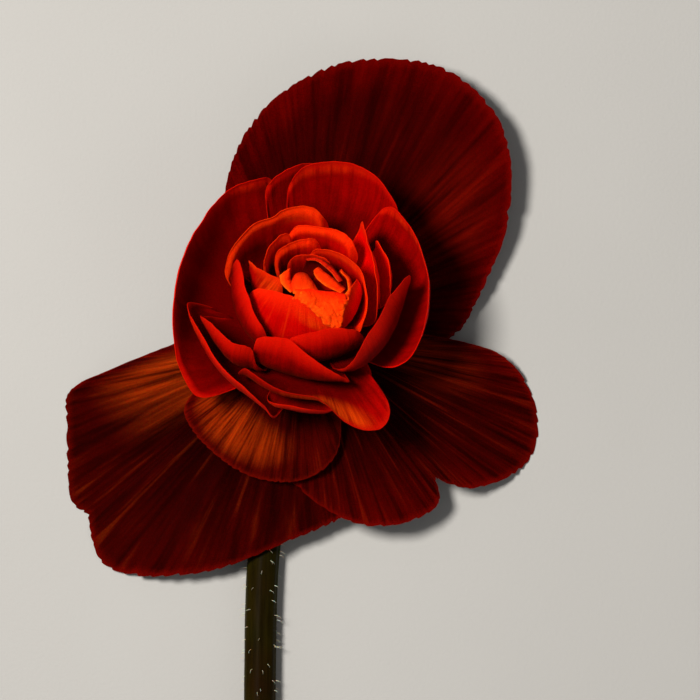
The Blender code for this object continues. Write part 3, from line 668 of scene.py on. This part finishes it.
tepal(
    "outer_tepal_right",
    outline=(
        (-112, 17, 14.6), (-106, 24, 13.8), (-99, 29.5, 13.0), (-91, 33.4, 12.2), (-82, 38, 11.4),
        (-74, 41.8, 10.8), (-66, 44.0, 10.4), (-59, 45.2, 9.6), (-54, 45.2, 8.4),
        (-51.4, 43.6, 7.6), (-49.6, 40.8, 8.8), (-47.8, 43.4, 9.4), (-45, 47.0, 7.0),
        (-40, 50, 4.0), (-34, 52.6, 1.0), (-28, 53, -1.2), (-22, 51, -1.5), (-17, 48.2, -0.4),
        (-12, 44.2, 2.0), (-8, 39.2, 4.6), (-6, 32, 6.6), (-4, 23, 8.4), (2, 14, 10.6),
    ),
    foot=-0.7, rise=(-0.5, 0.5, -0.5), droop=(1.0, 4.0, 3.0),
      pleats=(5, 0.3),
    finish=petal_finish(
        "right tepal crimson", (0.008, 0.0002, 0.0002), (0.048, 0.0005, 0.0003), (0.100, 0.0014, 0.0004), 54, 0.80,
        foot=0.22, full=1.05, relief=0.0007, painted_highlight=(0.200, 0.0100, 0.0008), painted_highlight_at=(0.87, 0.48, 0.20, 0.38), crest_highlight=0.30,
    ),
    columns=300, fold_count=22, fold_depth=0.65, tooth_count=50, tooth_depth=0.6, seed=8.4,
)
tepal(
    "lower_front_petal",
    outline=(
        (203, 15, 16.4), (209, 23, 15.6), (214, 29.2, 14.4), (221, 30.8, 13.6), (229, 31.4, 13.2),
        (237, 31.8, 13.2), (246, 32.4, 13.4), (255, 32.4, 13.8), (263, 32.0, 14.4),
        (270, 31.0, 15.2), (278, 29, 16.4), (286, 25, 17.6), (294, 16, 17.8),
    ),
    foot=0.3, rise=(-0.5, 1.0, 0.5), droop=(0.5, 5.0, 2.5),
      pleats=(5, 0.3),
    finish=petal_finish(
        "front petal scarlet", (0.012, 0.0002, 0.0002), (0.060, 0.0010, 0.0003), (0.120, 0.0024, 0.0004), 30, 0.75,
        foot=0.30, full=1.0, relief=0.0009, painted_highlight=(0.320, 0.0250, 0.0012), painted_highlight_at=(0.38, 0.73, 0.36, 0.24), crest_highlight=0.10,
    ),
    columns=180, fold_count=11, fold_depth=0.8, tooth_count=34, tooth_depth=0.45, seed=3.7,
)

# The cup of large petals. Six deep scarlet petals, each one curved sheet of flesh that grows on
# its own layer of the column, stand round the bloom and curl in at the top.
FIRST_LAYER_HEIGHT = 1.3
LAYER_STEP = 0.95


def cup_petal(
    name, layer, outline, belly, finish, slot="petal", spread=0.36, columns=96, rows=44,
    ruffle=0.25, ruffle_count=7, fold_count=16, fold_depth=0.10, curl=0.0, seed=1.0,
):
    """A cupped petal of the bloom.

    layer: how many layers up the column it grows.
    outline: its edge as (azimuth, radius, height), from one side of the foot round to the other.
    belly: the (radius, height) that its ribs lean out to, from the first side to the last.
    ruffle, curl: how far its rim waves, and how far it rolls outwards.
    """
    foot = FIRST_LAYER_HEIGHT + LAYER_STEP * layer
    foot_radius = column_radius(foot) + PETAL_GAP
    middle = (outline[0][0] + outline[-1][0]) / 2

    def place(u, t):
        azimuth, radius, height = through(outline, u)
        lean_radius, lean_height = through(belly, u)
        full = smoothstep((height - foot) / 9)
        lean_radius = full * lean_radius + (1 - full) * (foot_radius + 0.7 * (radius - foot_radius))
        lean_height = full * lean_height + (1 - full) * (foot + 0.5 * (height - foot))
        start = (foot_radius, foot)
        out = (foot_radius + 0.6 * (lean_radius - foot_radius), foot + 0.04 * (lean_height - foot))
        inside = smoothstep(min(u, 1 - u) / 0.12)
        height -= 0.22 * inside * max(-0.5, noise.noise(Vector((u * 26, 1.5, seed))) + 0.5 * noise.noise(Vector((u * 60, 2.5, seed))))
        r, h = bezier(start, out, (lean_radius, lean_height), (radius, height), t)
        fan = spread + (1 - spread) * smoothstep(t / 0.55)
        near_rim = smoothstep((t - 0.72) / 0.28)
        r += ruffle * inside * near_rim * noise.noise(Vector((u * ruffle_count, 0.7, seed)))
        r += fold_depth * inside * smoothstep((t - 0.35) / 0.3) * folds(u, t, fold_count, seed)
        rolled = smoothstep((t - 0.84) / 0.16)
        r -= curl * inside * smoothstep((t - 0.3) / 0.5) * (1 - rolled * rolled)
        h -= 0.9 * curl * inside * rolled**3
        return lean @ polar(middle + (azimuth - middle) * fan, r, h)

    petal = grid_piece(f"soft_{name}", columns, rows, place)
    return flesh_out(petal, slot, name, finish)


# Both cup finishes grow darker towards the foot, partly their own deeper base and partly painted shade, and carry a
# painted highlight patch on the crest.
cup_scarlet = petal_finish(
    "cup scarlet", (0.090, 0.0003, 0.0003), (0.350, 0.0006, 0.0004), (0.70, 0.005, 0.0008), 24, 0.40,
    foot=0.38, full=1.0, rim_from=0.90, painted_highlight=(0.95, 0.025, 0.001), painted_highlight_at=(0.64, 1.0, 0.32, 0.16),
)
cup_crimson = petal_finish(
    "cup crimson", (0.090, 0.0003, 0.0003), (0.310, 0.0006, 0.0004), (0.70, 0.006, 0.0008), 22, 0.40,
    foot=0.38, full=1.0, rim_from=0.90, painted_highlight=(0.92, 0.025, 0.001), painted_highlight_at=(0.22, 1.0, 0.24, 0.18),
)
cup_petal(
    "cup_petal_left", layer=0,
    outline=(
        (99, 21, 4.6), (102, 25.2, 11), (106, 25.2, 18), (113, 24.8, 20.8), (123, 25.2, 21.4),
        (134, 25.1, 21.4), (146, 24.6, 21), (158, 24.5, 21), (175, 25.0, 20), (193, 26.6, 18.5),
        (205, 28.4, 16), (216, 29.3, 12), (223, 27.7, 7.5), (228, 21, 3.6),
    ),
    belly=((27.5, 4.5), (29.5, 9), (30, 9), (27, 3.5)),
    finish=cup_crimson, seed=2.1, columns=150, fold_count=15, fold_depth=0.28, curl=0.9,
)
cup_petal(
    "cup_petal_top_left", layer=1,
    outline=(
        (69, 20, 6), (73, 25.5, 12), (80, 26.9, 18), (87, 26.2, 21.3), (94, 24.8, 23.5),
        (101, 23.8, 22.8), (107, 23.6, 20.4), (110, 23.4, 16), (112, 19.5, 8.6),
    ),
    belly=((26, 6), (29, 9), (27, 8.5), (22, 6.5)),
    finish=cup_crimson, seed=3.8, curl=0.8,
)
cup_petal(
    "cup_petal_top_right", layer=2,
    outline=(
        (37, 22, 5.4), (40, 25.4, 11), (44, 26.1, 16), (50, 26.2, 20), (57, 26.5, 22.3),
        (66, 26.6, 23.5), (74, 26.2, 24), (83, 25.2, 24), (91, 24.4, 22.6), (96, 23.6, 19.6),
        (99, 22.6, 15.6), (102, 17.5, 8.6),
    ),
    belly=((27, 5.5), (28.5, 9), (27, 9.5), (20.5, 8)),
    finish=cup_scarlet, seed=5.5, curl=0.5,
)
cup_petal(
    "cup_petal_right", layer=3,
    outline=(
        (-42, 17, 7.6), (-39.5, 21.4, 9.8), (-33, 24.1, 12.2), (-24, 24.8, 15), (-15, 24.8, 17.5),
        (-5, 24.6, 19), (6, 24.5, 20), (16, 24.2, 21), (27, 24.2, 21.5), (36, 24.2, 21),
        (43, 24.5, 20), (49, 24.4, 17), (53, 23.2, 12), (55, 18, 7.2),
    ),
    belly=((23, 8), (28, 9), (27.5, 9), (22, 7)),
    finish=cup_scarlet, seed=7.2, curl=0.5,
)
cup_petal(
    "cup_petal_lower_left", layer=1,
    outline=(
        (179, 18.5, 8), (184, 23.2, 14.5), (192, 23.3, 17), (201, 22.9, 18.3), (212, 23.0, 19.3),
        (224, 23.8, 20), (236, 24.9, 20.2), (246, 25.6, 19), (252, 25.6, 15.5), (256, 25.0, 10),
        (259, 20.2, 5.2),
    ),
    belly=((23, 8), (24.6, 9), (25.2, 9), (26.2, 5)),
    finish=cup_crimson, seed=8.9,
)
cup_petal(
    "cup_petal_bottom", layer=2,
    outline=(
        (247, 14.2, 4.7), (248.5, 18.9, 7.4), (250.5, 22.2, 11.4), (255, 24.3, 15.0),
        (264, 24.7, 16), (273, 24.9, 14.6), (281, 24, 11.2), (290, 22.0, 8.0), (299, 20.6, 6.6),
        (308, 20, 5.6), (317, 18, 4.8), (324, 13, 4.3),
    ),
    belly=((19.6, 7), (24.6, 8), (24.2, 7), (19.5, 4.6)),
    finish=cup_crimson, seed=10.6,
)

# The petals inside the cup. Fifteen and more thinner petals, packed round each other from the
# outside in, brighter scarlet the nearer they stand to the heart, partly their own colour and partly painted light,
# with warm orange rims that are partly painted highlight.
# The inner finishes are deep towards the foot, partly their own deeper base and partly painted shade in the depth of
# the cup; the pale patches that some of them carry are painted highlights.
inner_scarlet = petal_finish(
    "inner scarlet", (0.090, 0.0003, 0.0003), (0.290, 0.0006, 0.0004), (0.62, 0.005, 0.0008), 22, 0.35,
    foot=0.60, full=1.06, rim_from=0.84,
)
warm_scarlet = petal_finish(
    "warm scarlet", (0.130, 0.0003, 0.0003), (0.520, 0.0008, 0.0004), (0.90, 0.014, 0.001), 20, 0.35,
    foot=0.56, full=1.0, rim_from=0.82,
)
crest_scarlet = petal_finish(
    "crest scarlet", (0.100, 0.0003, 0.0003), (0.640, 0.0008, 0.0004), (0.98, 0.026, 0.001), 16, 0.30,
    foot=0.50, full=0.84, rim_from=0.76, painted_highlight=(1.0, 0.060, 0.0015), painted_highlight_at=(0.50, 1.0, 0.46, 0.24),
)
lip_scarlet = petal_finish(
    "lip scarlet", (0.090, 0.0003, 0.0003), (0.600, 0.0008, 0.0004), (0.95, 0.020, 0.001), 16, 0.30,
    foot=0.50, full=0.86, rim_from=0.80, painted_highlight=(1.0, 0.055, 0.0015), painted_highlight_at=(0.48, 1.0, 0.40, 0.16),
)
dome_scarlet = petal_finish(
    "dome scarlet", (0.160, 0.0004, 0.0003), (0.560, 0.0008, 0.0004), (0.90, 0.012, 0.001), 26, 0.30,
    foot=0.45, full=0.90, rim_from=0.86, painted_highlight=(1.0, 0.060, 0.0015), painted_highlight_at=(0.67, 0.96, 0.18, 0.12), crest_highlight=0.20,
)
amber_scarlet = petal_finish(
    "amber scarlet", (0.110, 0.0003, 0.0003), (0.420, 0.0010, 0.0005), (0.88, 0.020, 0.001), 14, 0.35,
    foot=0.40, full=0.95, rim_from=0.90, painted_highlight=(0.96, 0.050, 0.0020), painted_highlight_at=(0.70, 0.92, 0.26, 0.22),
)
tongue_scarlet = petal_finish(
    "tongue scarlet", (0.090, 0.0003, 0.0003), (0.300, 0.0008, 0.0004), (0.44, 0.004, 0.0008), 24, 0.45,
    foot=0.45, full=1.0, rim_from=0.92, painted_highlight=(0.90, 0.070, 0.0020), painted_highlight_at=(0.54, 0.92, 0.26, 0.34),
)
# The blade finish is painted bright, its deep colour too, to stand in for light on blade faces that lie in shade.
blade_scarlet = petal_finish(
    "blade scarlet", (0.600, 0.0008, 0.0004), (0.900, 0.0012, 0.0005), (1.0, 0.016, 0.001), 14, 0.30,
    foot=0.30, full=0.80, rim_from=0.84,
)
cup_petal(
    "tongue_petal", layer=3,
    outline=(
        (228, 17, 7.4), (231, 20.8, 13), (237, 21.2, 18.6), (246, 22.0, 19.6), (255, 22.5, 18.4),
        (265, 22.8, 17.2), (275, 23.0, 16.0), (281, 24.4, 14), (287, 27, 11.0), (293, 29.2, 9.2),
        (299, 30.3, 8.6), (304, 29.6, 9), (308, 27, 9.5), (311, 20, 9),
    ),
    belly=((20, 8), (22.3, 9.5), (23, 11), (24.5, 14.5), (22, 12)),
    finish=tongue_scarlet, seed=3.3, columns=120,
)
cup_petal(
    "inner_petal_lower_left", layer=4,
    outline=(
        (188, 16, 8), (193, 21.2, 15), (200, 20.9, 19), (208, 20.2, 20.8), (217, 19.9, 21.8),
        (225, 19.7, 22), (231, 18.6, 22), (235, 17.8, 20.5), (238, 18.0, 15.2), (241, 16.3, 9.6),
    ),
    belly=((20, 8), (23, 10), (22.5, 10), (18.2, 9.4)),
    finish=inner_scarlet, seed=5.2,
)
cup_petal(
    "front_lip_petal", layer=5,
    outline=(
        (230.5, 13.6, 9.4), (231.5, 15.2, 12.6), (232.2, 15.8, 17), (233.6, 15.6, 21.4),
        (240, 14.8, 22.8), (249, 14.2, 23.4), (258, 14.1, 23.4), (268, 15.6, 22.9),
        (277, 17.7, 22), (285, 19.8, 20.8), (291, 21.2, 19), (295, 21.2, 15.5), (298, 16.5, 9),
    ),
    belly=((17.5, 10), (20, 11), (21, 11.5), (21, 11), (18.5, 8.8)),
    finish=inner_scarlet, seed=7.1,
)
cup_petal(
    "right_front_petal", layer=6,
    outline=(
        (-69, 15.8, 11.8), (-65, 18.7, 16.5), (-61, 19.3, 20), (-55, 18.7, 21.6),
        (-47, 17.8, 22.6), (-38, 17.3, 23.2), (-27, 17.1, 23.3), (-16, 17.4, 23.2), (-7, 18.5, 23),
        (0, 20.0, 22.8), (5, 21.0, 19.5), (8, 19, 11),
    ),
    belly=((17.8, 12), (23, 12), (23.5, 12), (21.5, 10)),
    finish=inner_scarlet, seed=9.0,
)
cup_petal(
    "back_petal_left", layer=4,
    outline=(
        (68, 13, 7.5), (73, 15.9, 15), (77, 15.4, 21), (84, 15.5, 23.8), (94, 15.5, 24.2),
        (108, 15.2, 24.3), (117, 15.0, 23.5), (130, 15.5, 24), (141, 15.8, 23.2), (150, 16.2, 22),
        (157, 16.6, 19), (162, 16.8, 14), (166, 14.5, 8.5),
    ),
    belly=((15, 9), (19, 11), (19.5, 11), (18.5, 8)),
    finish=crest_scarlet, seed=10.9, curl=1.5,
)
cup_petal(
    "left_front_petal", layer=6,
    outline=(
        (155, 11.5, 9.5), (156, 13.3, 12.5), (157.5, 14.3, 16.5), (161, 14.3, 21.5),
        (167, 13.2, 23), (176, 12.3, 23.5), (188, 11.9, 23.5), (203, 11.9, 23.2),
        (218, 12.4, 22.4), (228, 12.7, 21.5), (233, 12.7, 18.5), (236, 12.4, 14),
        (238, 10.8, 10.5),
    ),
    belly=((15.5, 10), (18, 12), (17, 12), (13.6, 11)),
    finish=inner_scarlet, seed=12.8,
)
cup_petal(
    "right_outer_blade", layer=7,
    outline=(
        (-10, 13, 10.5), (-6, 16.6, 15), (-2, 16.9, 20), (4, 17.1, 22.6), (12, 16.9, 23.4),
        (21, 16.6, 23.4), (29, 16.5, 22.8), (34, 17.0, 19), (37, 17.2, 13), (40, 13, 9.5),
    ),
    belly=((16, 11), (19, 12), (19, 12), (17, 10)),
    finish=blade_scarlet, seed=14.7,
)
cup_petal(
    "right_inner_blade", layer=8,
    outline=(
        (-28, 12, 10.5), (-25, 15.2, 16), (-20, 15.4, 21), (-10, 14.8, 23.8), (2, 14.0, 25),
        (14, 13.8, 25.3), (26, 14.1, 25), (36, 15.0, 24.3), (44, 16.2, 23.2), (49, 17.2, 21),
        (52, 17.0, 15), (54, 13, 10),
    ),
    belly=((15, 11), (17, 12.5), (17.4, 11.5), (17, 9.5)),
    finish=blade_scarlet, seed=16.6,
)
cup_petal(
    "front_centre_petal", layer=7,
    outline=(
        (247, 12, 11.8), (251, 13.3, 16.5), (257, 12.7, 20.5), (265, 12.3, 22.3), (276, 12.0, 23),
        (288, 12.2, 23.6), (299, 13.2, 24), (306, 14.4, 23.9), (312, 15.4, 22.8),
        (316, 15.8, 19.5), (319, 15.5, 15), (321, 13, 11.2),
    ),
    belly=((15.4, 11.6), (17.8, 12), (18, 12), (16, 11.4)),
    finish=inner_scarlet, seed=18.5,
)
cup_petal(
    "back_petal_right", layer=9,
    outline=(
        (31, 10.8, 13.5), (34, 12.7, 18), (38, 12.6, 22.5), (44, 12.5, 24.3), (55, 12.0, 25),
        (69, 11.3, 25.2), (85, 11.1, 25), (97, 11.3, 24.2), (105, 11.7, 21), (109, 11.9, 15),
        (112, 10, 10.5),
    ),
    belly=((12, 13.5), (14.6, 13), (14.5, 13), (13, 10.4)),
    finish=lip_scarlet, seed=20.4, curl=1.6,
)
cup_petal(
    "front_dome_petal", layer=8,
    outline=(
        (182, 8.5, 10), (184, 10.3, 13.4), (186, 10.9, 17.4), (190, 9.7, 21.2), (198, 8.6, 23.3),
        (212, 7.2, 25.0), (232, 6.2, 25.8), (252, 6.0, 26), (268, 6.8, 25.7), (278, 7.5, 24.9),
        (286, 8.6, 23.8), (293, 10.0, 22.4), (299, 11.2, 20.6), (303, 11.8, 16.5),
        (306, 9.5, 10.5),
    ),
    belly=((12, 11), (15, 13), (15, 13), (13, 11)),
    finish=dome_scarlet, seed=22.3, columns=120,
)
cup_petal(
    "left_back_petal", layer=9,
    outline=(
        (148, 9.5, 10.5), (150, 11.3, 13.2), (153, 12.1, 17), (157, 12.0, 21), (163, 11.1, 23.5),
        (170, 9.8, 24.7), (177, 8.2, 25.4), (184, 6.8, 25.6), (193, 5.4, 25.6), (203, 4.7, 25),
        (209, 4.8, 22), (213, 5.2, 17), (216, 5.4, 12),
    ),
    belly=((12.5, 11), (13.8, 13), (12.5, 13), (8.5, 11)),
    finish=amber_scarlet, seed=24.2, curl=0.5,
)
cup_petal(
    "back_inner_petal_left", layer=10,
    outline=(
        (99, 7.5, 12.8), (103, 9.7, 18), (108, 10.0, 23.5), (116, 9.8, 25), (126, 9.5, 25.2),
        (138, 9.3, 25), (150, 9.0, 24.2), (158, 8.8, 22), (163, 8.3, 17), (166, 6.8, 13.4),
    ),
    belly=((10, 12.8), (12, 13), (11.5, 13), (9, 13)),
    finish=lip_scarlet, seed=26.1, curl=1.0,
)
cup_petal(
    "back_inner_petal_right", layer=11,
    outline=(
        (64, 8, 12.6), (68, 9.1, 17.5), (73, 8.7, 23), (80, 8.1, 25), (90, 7.7, 25.3),
        (103, 7.4, 25.3), (118, 7.4, 25.2), (130, 7.6, 24.6), (137, 7.8, 22), (141, 7.6, 17.5),
        (145, 6.4, 14),
    ),
    belly=((9.6, 12.6), (9.8, 14), (9.6, 14), (8.2, 14)),
    finish=lip_scarlet, seed=28.0, curl=1.1,
)
cup_petal(
    "spiral_petal", layer=12,
    outline=(
        (-42, 11, 13.5), (-40, 14.0, 17), (-36, 14.4, 20.5), (-28, 14.0, 23), (-19, 13.2, 24.3),
        (-9, 12.1, 25.3), (3, 11.0, 26), (18, 9.4, 26.2), (36, 7.7, 25.9), (54, 6.5, 25.4),
        (68, 5.9, 24.8), (78, 5.7, 22.5), (84, 5.8, 19), (88, 5.0, 15),
    ),
    belly=((14, 13), (15.5, 14), (11, 14), (6.8, 14.8)),
    finish=lip_scarlet, seed=29.9, curl=0.8,
)
cup_petal(
    "inner_petal_right", layer=13,
    outline=(
        (-59, 8.5, 14.3), (-57, 11.2, 18), (-52, 11.7, 21.6), (-44, 10.7, 24.2), (-36, 10.1, 25),
        (-26, 9.8, 25.3), (-17, 9.9, 25.4), (-9, 10.4, 25.2), (-5, 10.6, 23.5), (-2, 10.6, 19.5),
        (1, 8, 14.3),
    ),
    belly=((11.5, 14.2), (14, 14), (14, 14), (12, 14)),
    finish=blade_scarlet, seed=31.8,
)
cup_petal(
    "back_innermost_petal", layer=13,
    outline=(
        (24, 4.8, 15), (26, 6.1, 19), (30, 5.9, 23), (35, 5.6, 24.4), (52, 4.8, 24.8),
        (75, 4.3, 24.6), (100, 4.5, 24), (120, 5.1, 22.5), (130, 5.3, 19), (136, 4.6, 15),
    ),
    belly=((6.2, 15.4), (5.8, 15.8), (5.3, 15.8), (5.1, 15.4)),
    spread=0.5,
    finish=warm_scarlet, seed=33.7,
)

# The heart. Small crinkled petals of bright orange red, their brightness partly painted light, crowded on the column's
# tip: thin arcs stand round a dark hollow, and a hood and a crumpled lip close it at the front. Their feet are painted
# deep red as painted shade in the hollow.
heart_orange = petal_finish(
    "heart orange", (0.420, 0.0012, 0.0005), (0.940, 0.0280, 0.0014), (1.0, 0.085, 0.003), 9, 0.45,
    foot=0.34, full=0.85, rim_from=0.84, relief=0.00012,
)
heart_amber = petal_finish(
    "heart amber", (0.880, 0.0100, 0.0008), (1.0, 0.0560, 0.0020), (1.0, 0.090, 0.003), 7, 0.35,
    foot=0.45, full=0.85, rim_from=0.92, relief=0.00012,
)
hollow_red = petal_finish(
    "hollow red", (0.090, 0.0010, 0.0008), (0.640, 0.0100, 0.0020), (0.92, 0.060, 0.006), 12, 0.30,
    foot=0.55, full=0.96, rim_from=0.90, relief=0.00012,
)


def stirred(place):
    """A smooth push from -1 to 1 in each direction, which differs from place to place."""
    return Vector((
        noise.noise(place), noise.noise(place + Vector((9.3, -1.5, -8.0))), noise.noise(place + Vector((3.7, 5.2, 12.4)))
    ))


def folded_petal(name, rows, finish, columns=60, lines=48, crumple=0.25, size=0.55, seed=1.0, node=None):
    """A small petal laid through rows of (x, y, z), from its foot on the column to its rim."""

    def place(u, t):
        x, y, z = through([through(row, u) for row in rows], t)
        free = smoothstep((t - 0.35) / 0.35)
        wide = stirred(Vector((x * size, y * size, z * size * 0.6 + seed)))
        small = stirred(Vector((x * size * 2.6, y * size * 2.6, z * size + seed + 5)))
        return Vector((x, y, z)) + (wide + 0.4 * small) * crumple * free

    petal = grid_piece(f"soft_{name}", columns, lines, place)
    return flesh_out(petal, "heart", node or name, finish)


folded_petal(
    "heart_petal_back",
    (
        ((0.2, 7.8, 27.4), (0.8, 7.7, 27.4), (1.3, 7.2, 27.4), (1.5, 6.6, 27.4)),
        ((-0.4, 10.4, 29.6), (2.4, 10.6, 29.8), (4.6, 9.6, 29.8), (5.8, 7.8, 29.8)),
        ((0.3, 12.2, 32.5), (2.6, 12.6, 32.5), (5.2, 11.2, 32.5), (7.2, 8.6, 32.5)),
        ((0.4, 12.8, 34.8), (2.4, 12.9, 35.4), (5.0, 11.4, 35.8), (7.4, 8.6, 35.2)),
        ((0.8, 12.6, 35.0), (2.3, 12.5, 35.5), (4.5, 11.0, 35.8), (6.8, 8.4, 35.2)),
    ),
    hollow_red, crumple=0.15, seed=2.2,
)
folded_petal(
    "heart_petal_blade",
    (
        ((0.9, 7.6, 28.0), (1.3, 7.2, 28.0), (1.4, 6.6, 28.0)),
        ((2.4, 10.0, 30.2), (4.2, 8.6, 30.2), (6.4, 6.9, 30.6)),
        ((2.6, 10.8, 33.5), (5.0, 9.2, 33.7), (7.8, 7.0, 34.2)),
        ((2.6, 11.1, 36.0), (5.0, 9.1, 36.8), (7.9, 6.8, 37.2)),
        ((2.0, 10.8, 36.6), (3.4, 9.3, 37.2), (5.2, 8.0, 37.6), (7.6, 6.7, 37.7)),
        ((1.8, 10.0, 36.2), (2.9, 8.6, 36.8), (4.6, 7.3, 37.2), (7.2, 6.3, 37.3)),
    ),
    heart_orange, crumple=0.2, seed=6.1,
)
folded_petal(
    "heart_petal_right",
    (
        ((1.3, 7.3, 27.0), (1.6, 6.8, 27.0), (1.7, 6.4, 27.0), (1.6, 5.9, 27.2)),
        ((5.6, 9.2, 29.0), (7.2, 8.0, 29.0), (7.6, 6.4, 29.0), (6.8, 5.0, 29.4)),
        ((6.9, 10.6, 34.0), (8.7, 8.8, 34.0), (9.2, 6.8, 34.2), (8.4, 5.0, 34.4)),
        ((7.2, 10.7, 36.2), (8.8, 8.9, 36.8), (9.2, 6.9, 37.3), (8.4, 5.0, 37.6)),
        ((7.0, 10.5, 36.5), (8.3, 8.8, 37.1), (8.6, 6.9, 37.7), (7.5, 5.4, 38.2)),
    ),
    heart_orange, crumple=0.25, seed=9.4,
)
folded_petal(
    "heart_petal_left",
    (
        ((-0.9, 7.6, 27.4), (-1.2, 7.1, 27.4), (-1.2, 6.4, 27.4)),
        ((-2.6, 10.2, 30.4), (-2.8, 8.4, 30.6), (-2.4, 6.8, 31.2)),
        ((-2.9, 11.0, 34.5), (-3.0, 9.0, 34.9), (-2.2, 7.0, 36.0)),
        ((-3.1, 11.0, 36.4), (-3.3, 8.8, 37.0), (-2.2, 6.6, 38.2)),
        ((-4.9, 9.6, 36.6), (-4.4, 8.0, 37.4), (-2.6, 6.2, 38.6)),
    ),
    heart_orange, columns=48, crumple=0.22, seed=3.3,
)
folded_petal(
    "heart_petal_hood",
    (
        ((-0.9, 5.9, 28.0), (-0.4, 5.7, 28.0), (0.4, 5.7, 28.0), (0.9, 5.9, 28.0)),
        ((-2.0, 7.2, 31.0), (-1.2, 8.9, 31.0), (0.4, 8.9, 31.0), (1.7, 7.4, 31.0)),
        ((-2.5, 7.8, 35.0), (-1.6, 9.7, 35.0), (0.2, 9.8, 35.0), (1.7, 8.0, 34.8)),
        ((-2.5, 7.4, 37.4), (-1.3, 8.8, 38.2), (0.5, 8.7, 38.1), (2.3, 7.3, 37.0)),
        ((-2.1, 6.0, 38.6), (-0.8, 6.0, 39.3), (0.9, 5.9, 39.1), (2.9, 5.9, 38.0)),
    ),
    heart_orange, crumple=0.10, seed=7.7,
)
folded_petal(
    "heart_petal_lip",
    (
        ((-0.4, 5.6, 27.6), (0.0, 5.5, 27.6), (0.6, 5.5, 27.6), (1.1, 5.6, 27.6), (1.5, 5.9, 27.6)),
        ((-1.6, 5.6, 32.0), (0.8, 4.8, 32.0), (3.4, 4.2, 32.0), (5.6, 3.8, 32.0), (7.2, 4.4, 32.0)),
        ((-1.7, 6.6, 38.0), (1.0, 6.6, 38.2), (3.8, 6.2, 38.0), (6.2, 6.0, 37.6), (8.0, 5.6, 37.6)),
        ((-1.8, 6.4, 39.0), (1.0, 6.2, 39.6), (4.0, 5.2, 39.3), (6.6, 4.6, 38.9), (8.2, 5.0, 38.6)),
        (
            (-2.1, 5.9, 39.3), (-0.2, 5.2, 39.5), (1.8, 4.0, 39.9), (3.2, 2.6, 39.7), (4.4, 1.0, 39.5),
            (6.0, -0.2, 39.0), (7.1, 0.7, 38.7), (7.5, 2.6, 38.5), (8.0, 4.3, 38.3), (8.9, 5.4, 38.0),
        ),
        (
            (-2.6, 5.3, 38.8), (-0.6, 4.5, 39.0), (1.2, 3.2, 39.2), (2.6, 1.7, 39.0), (4.0, 0.3, 38.6),
            (5.9, -0.8, 38.0), (7.1, 0.2, 38.0), (7.6, 2.4, 37.9), (8.1, 4.2, 37.7), (9.0, 5.3, 37.5),
        ),
    ),
    heart_amber, columns=130, lines=76, crumple=0.60, size=0.72, seed=4.9,
)
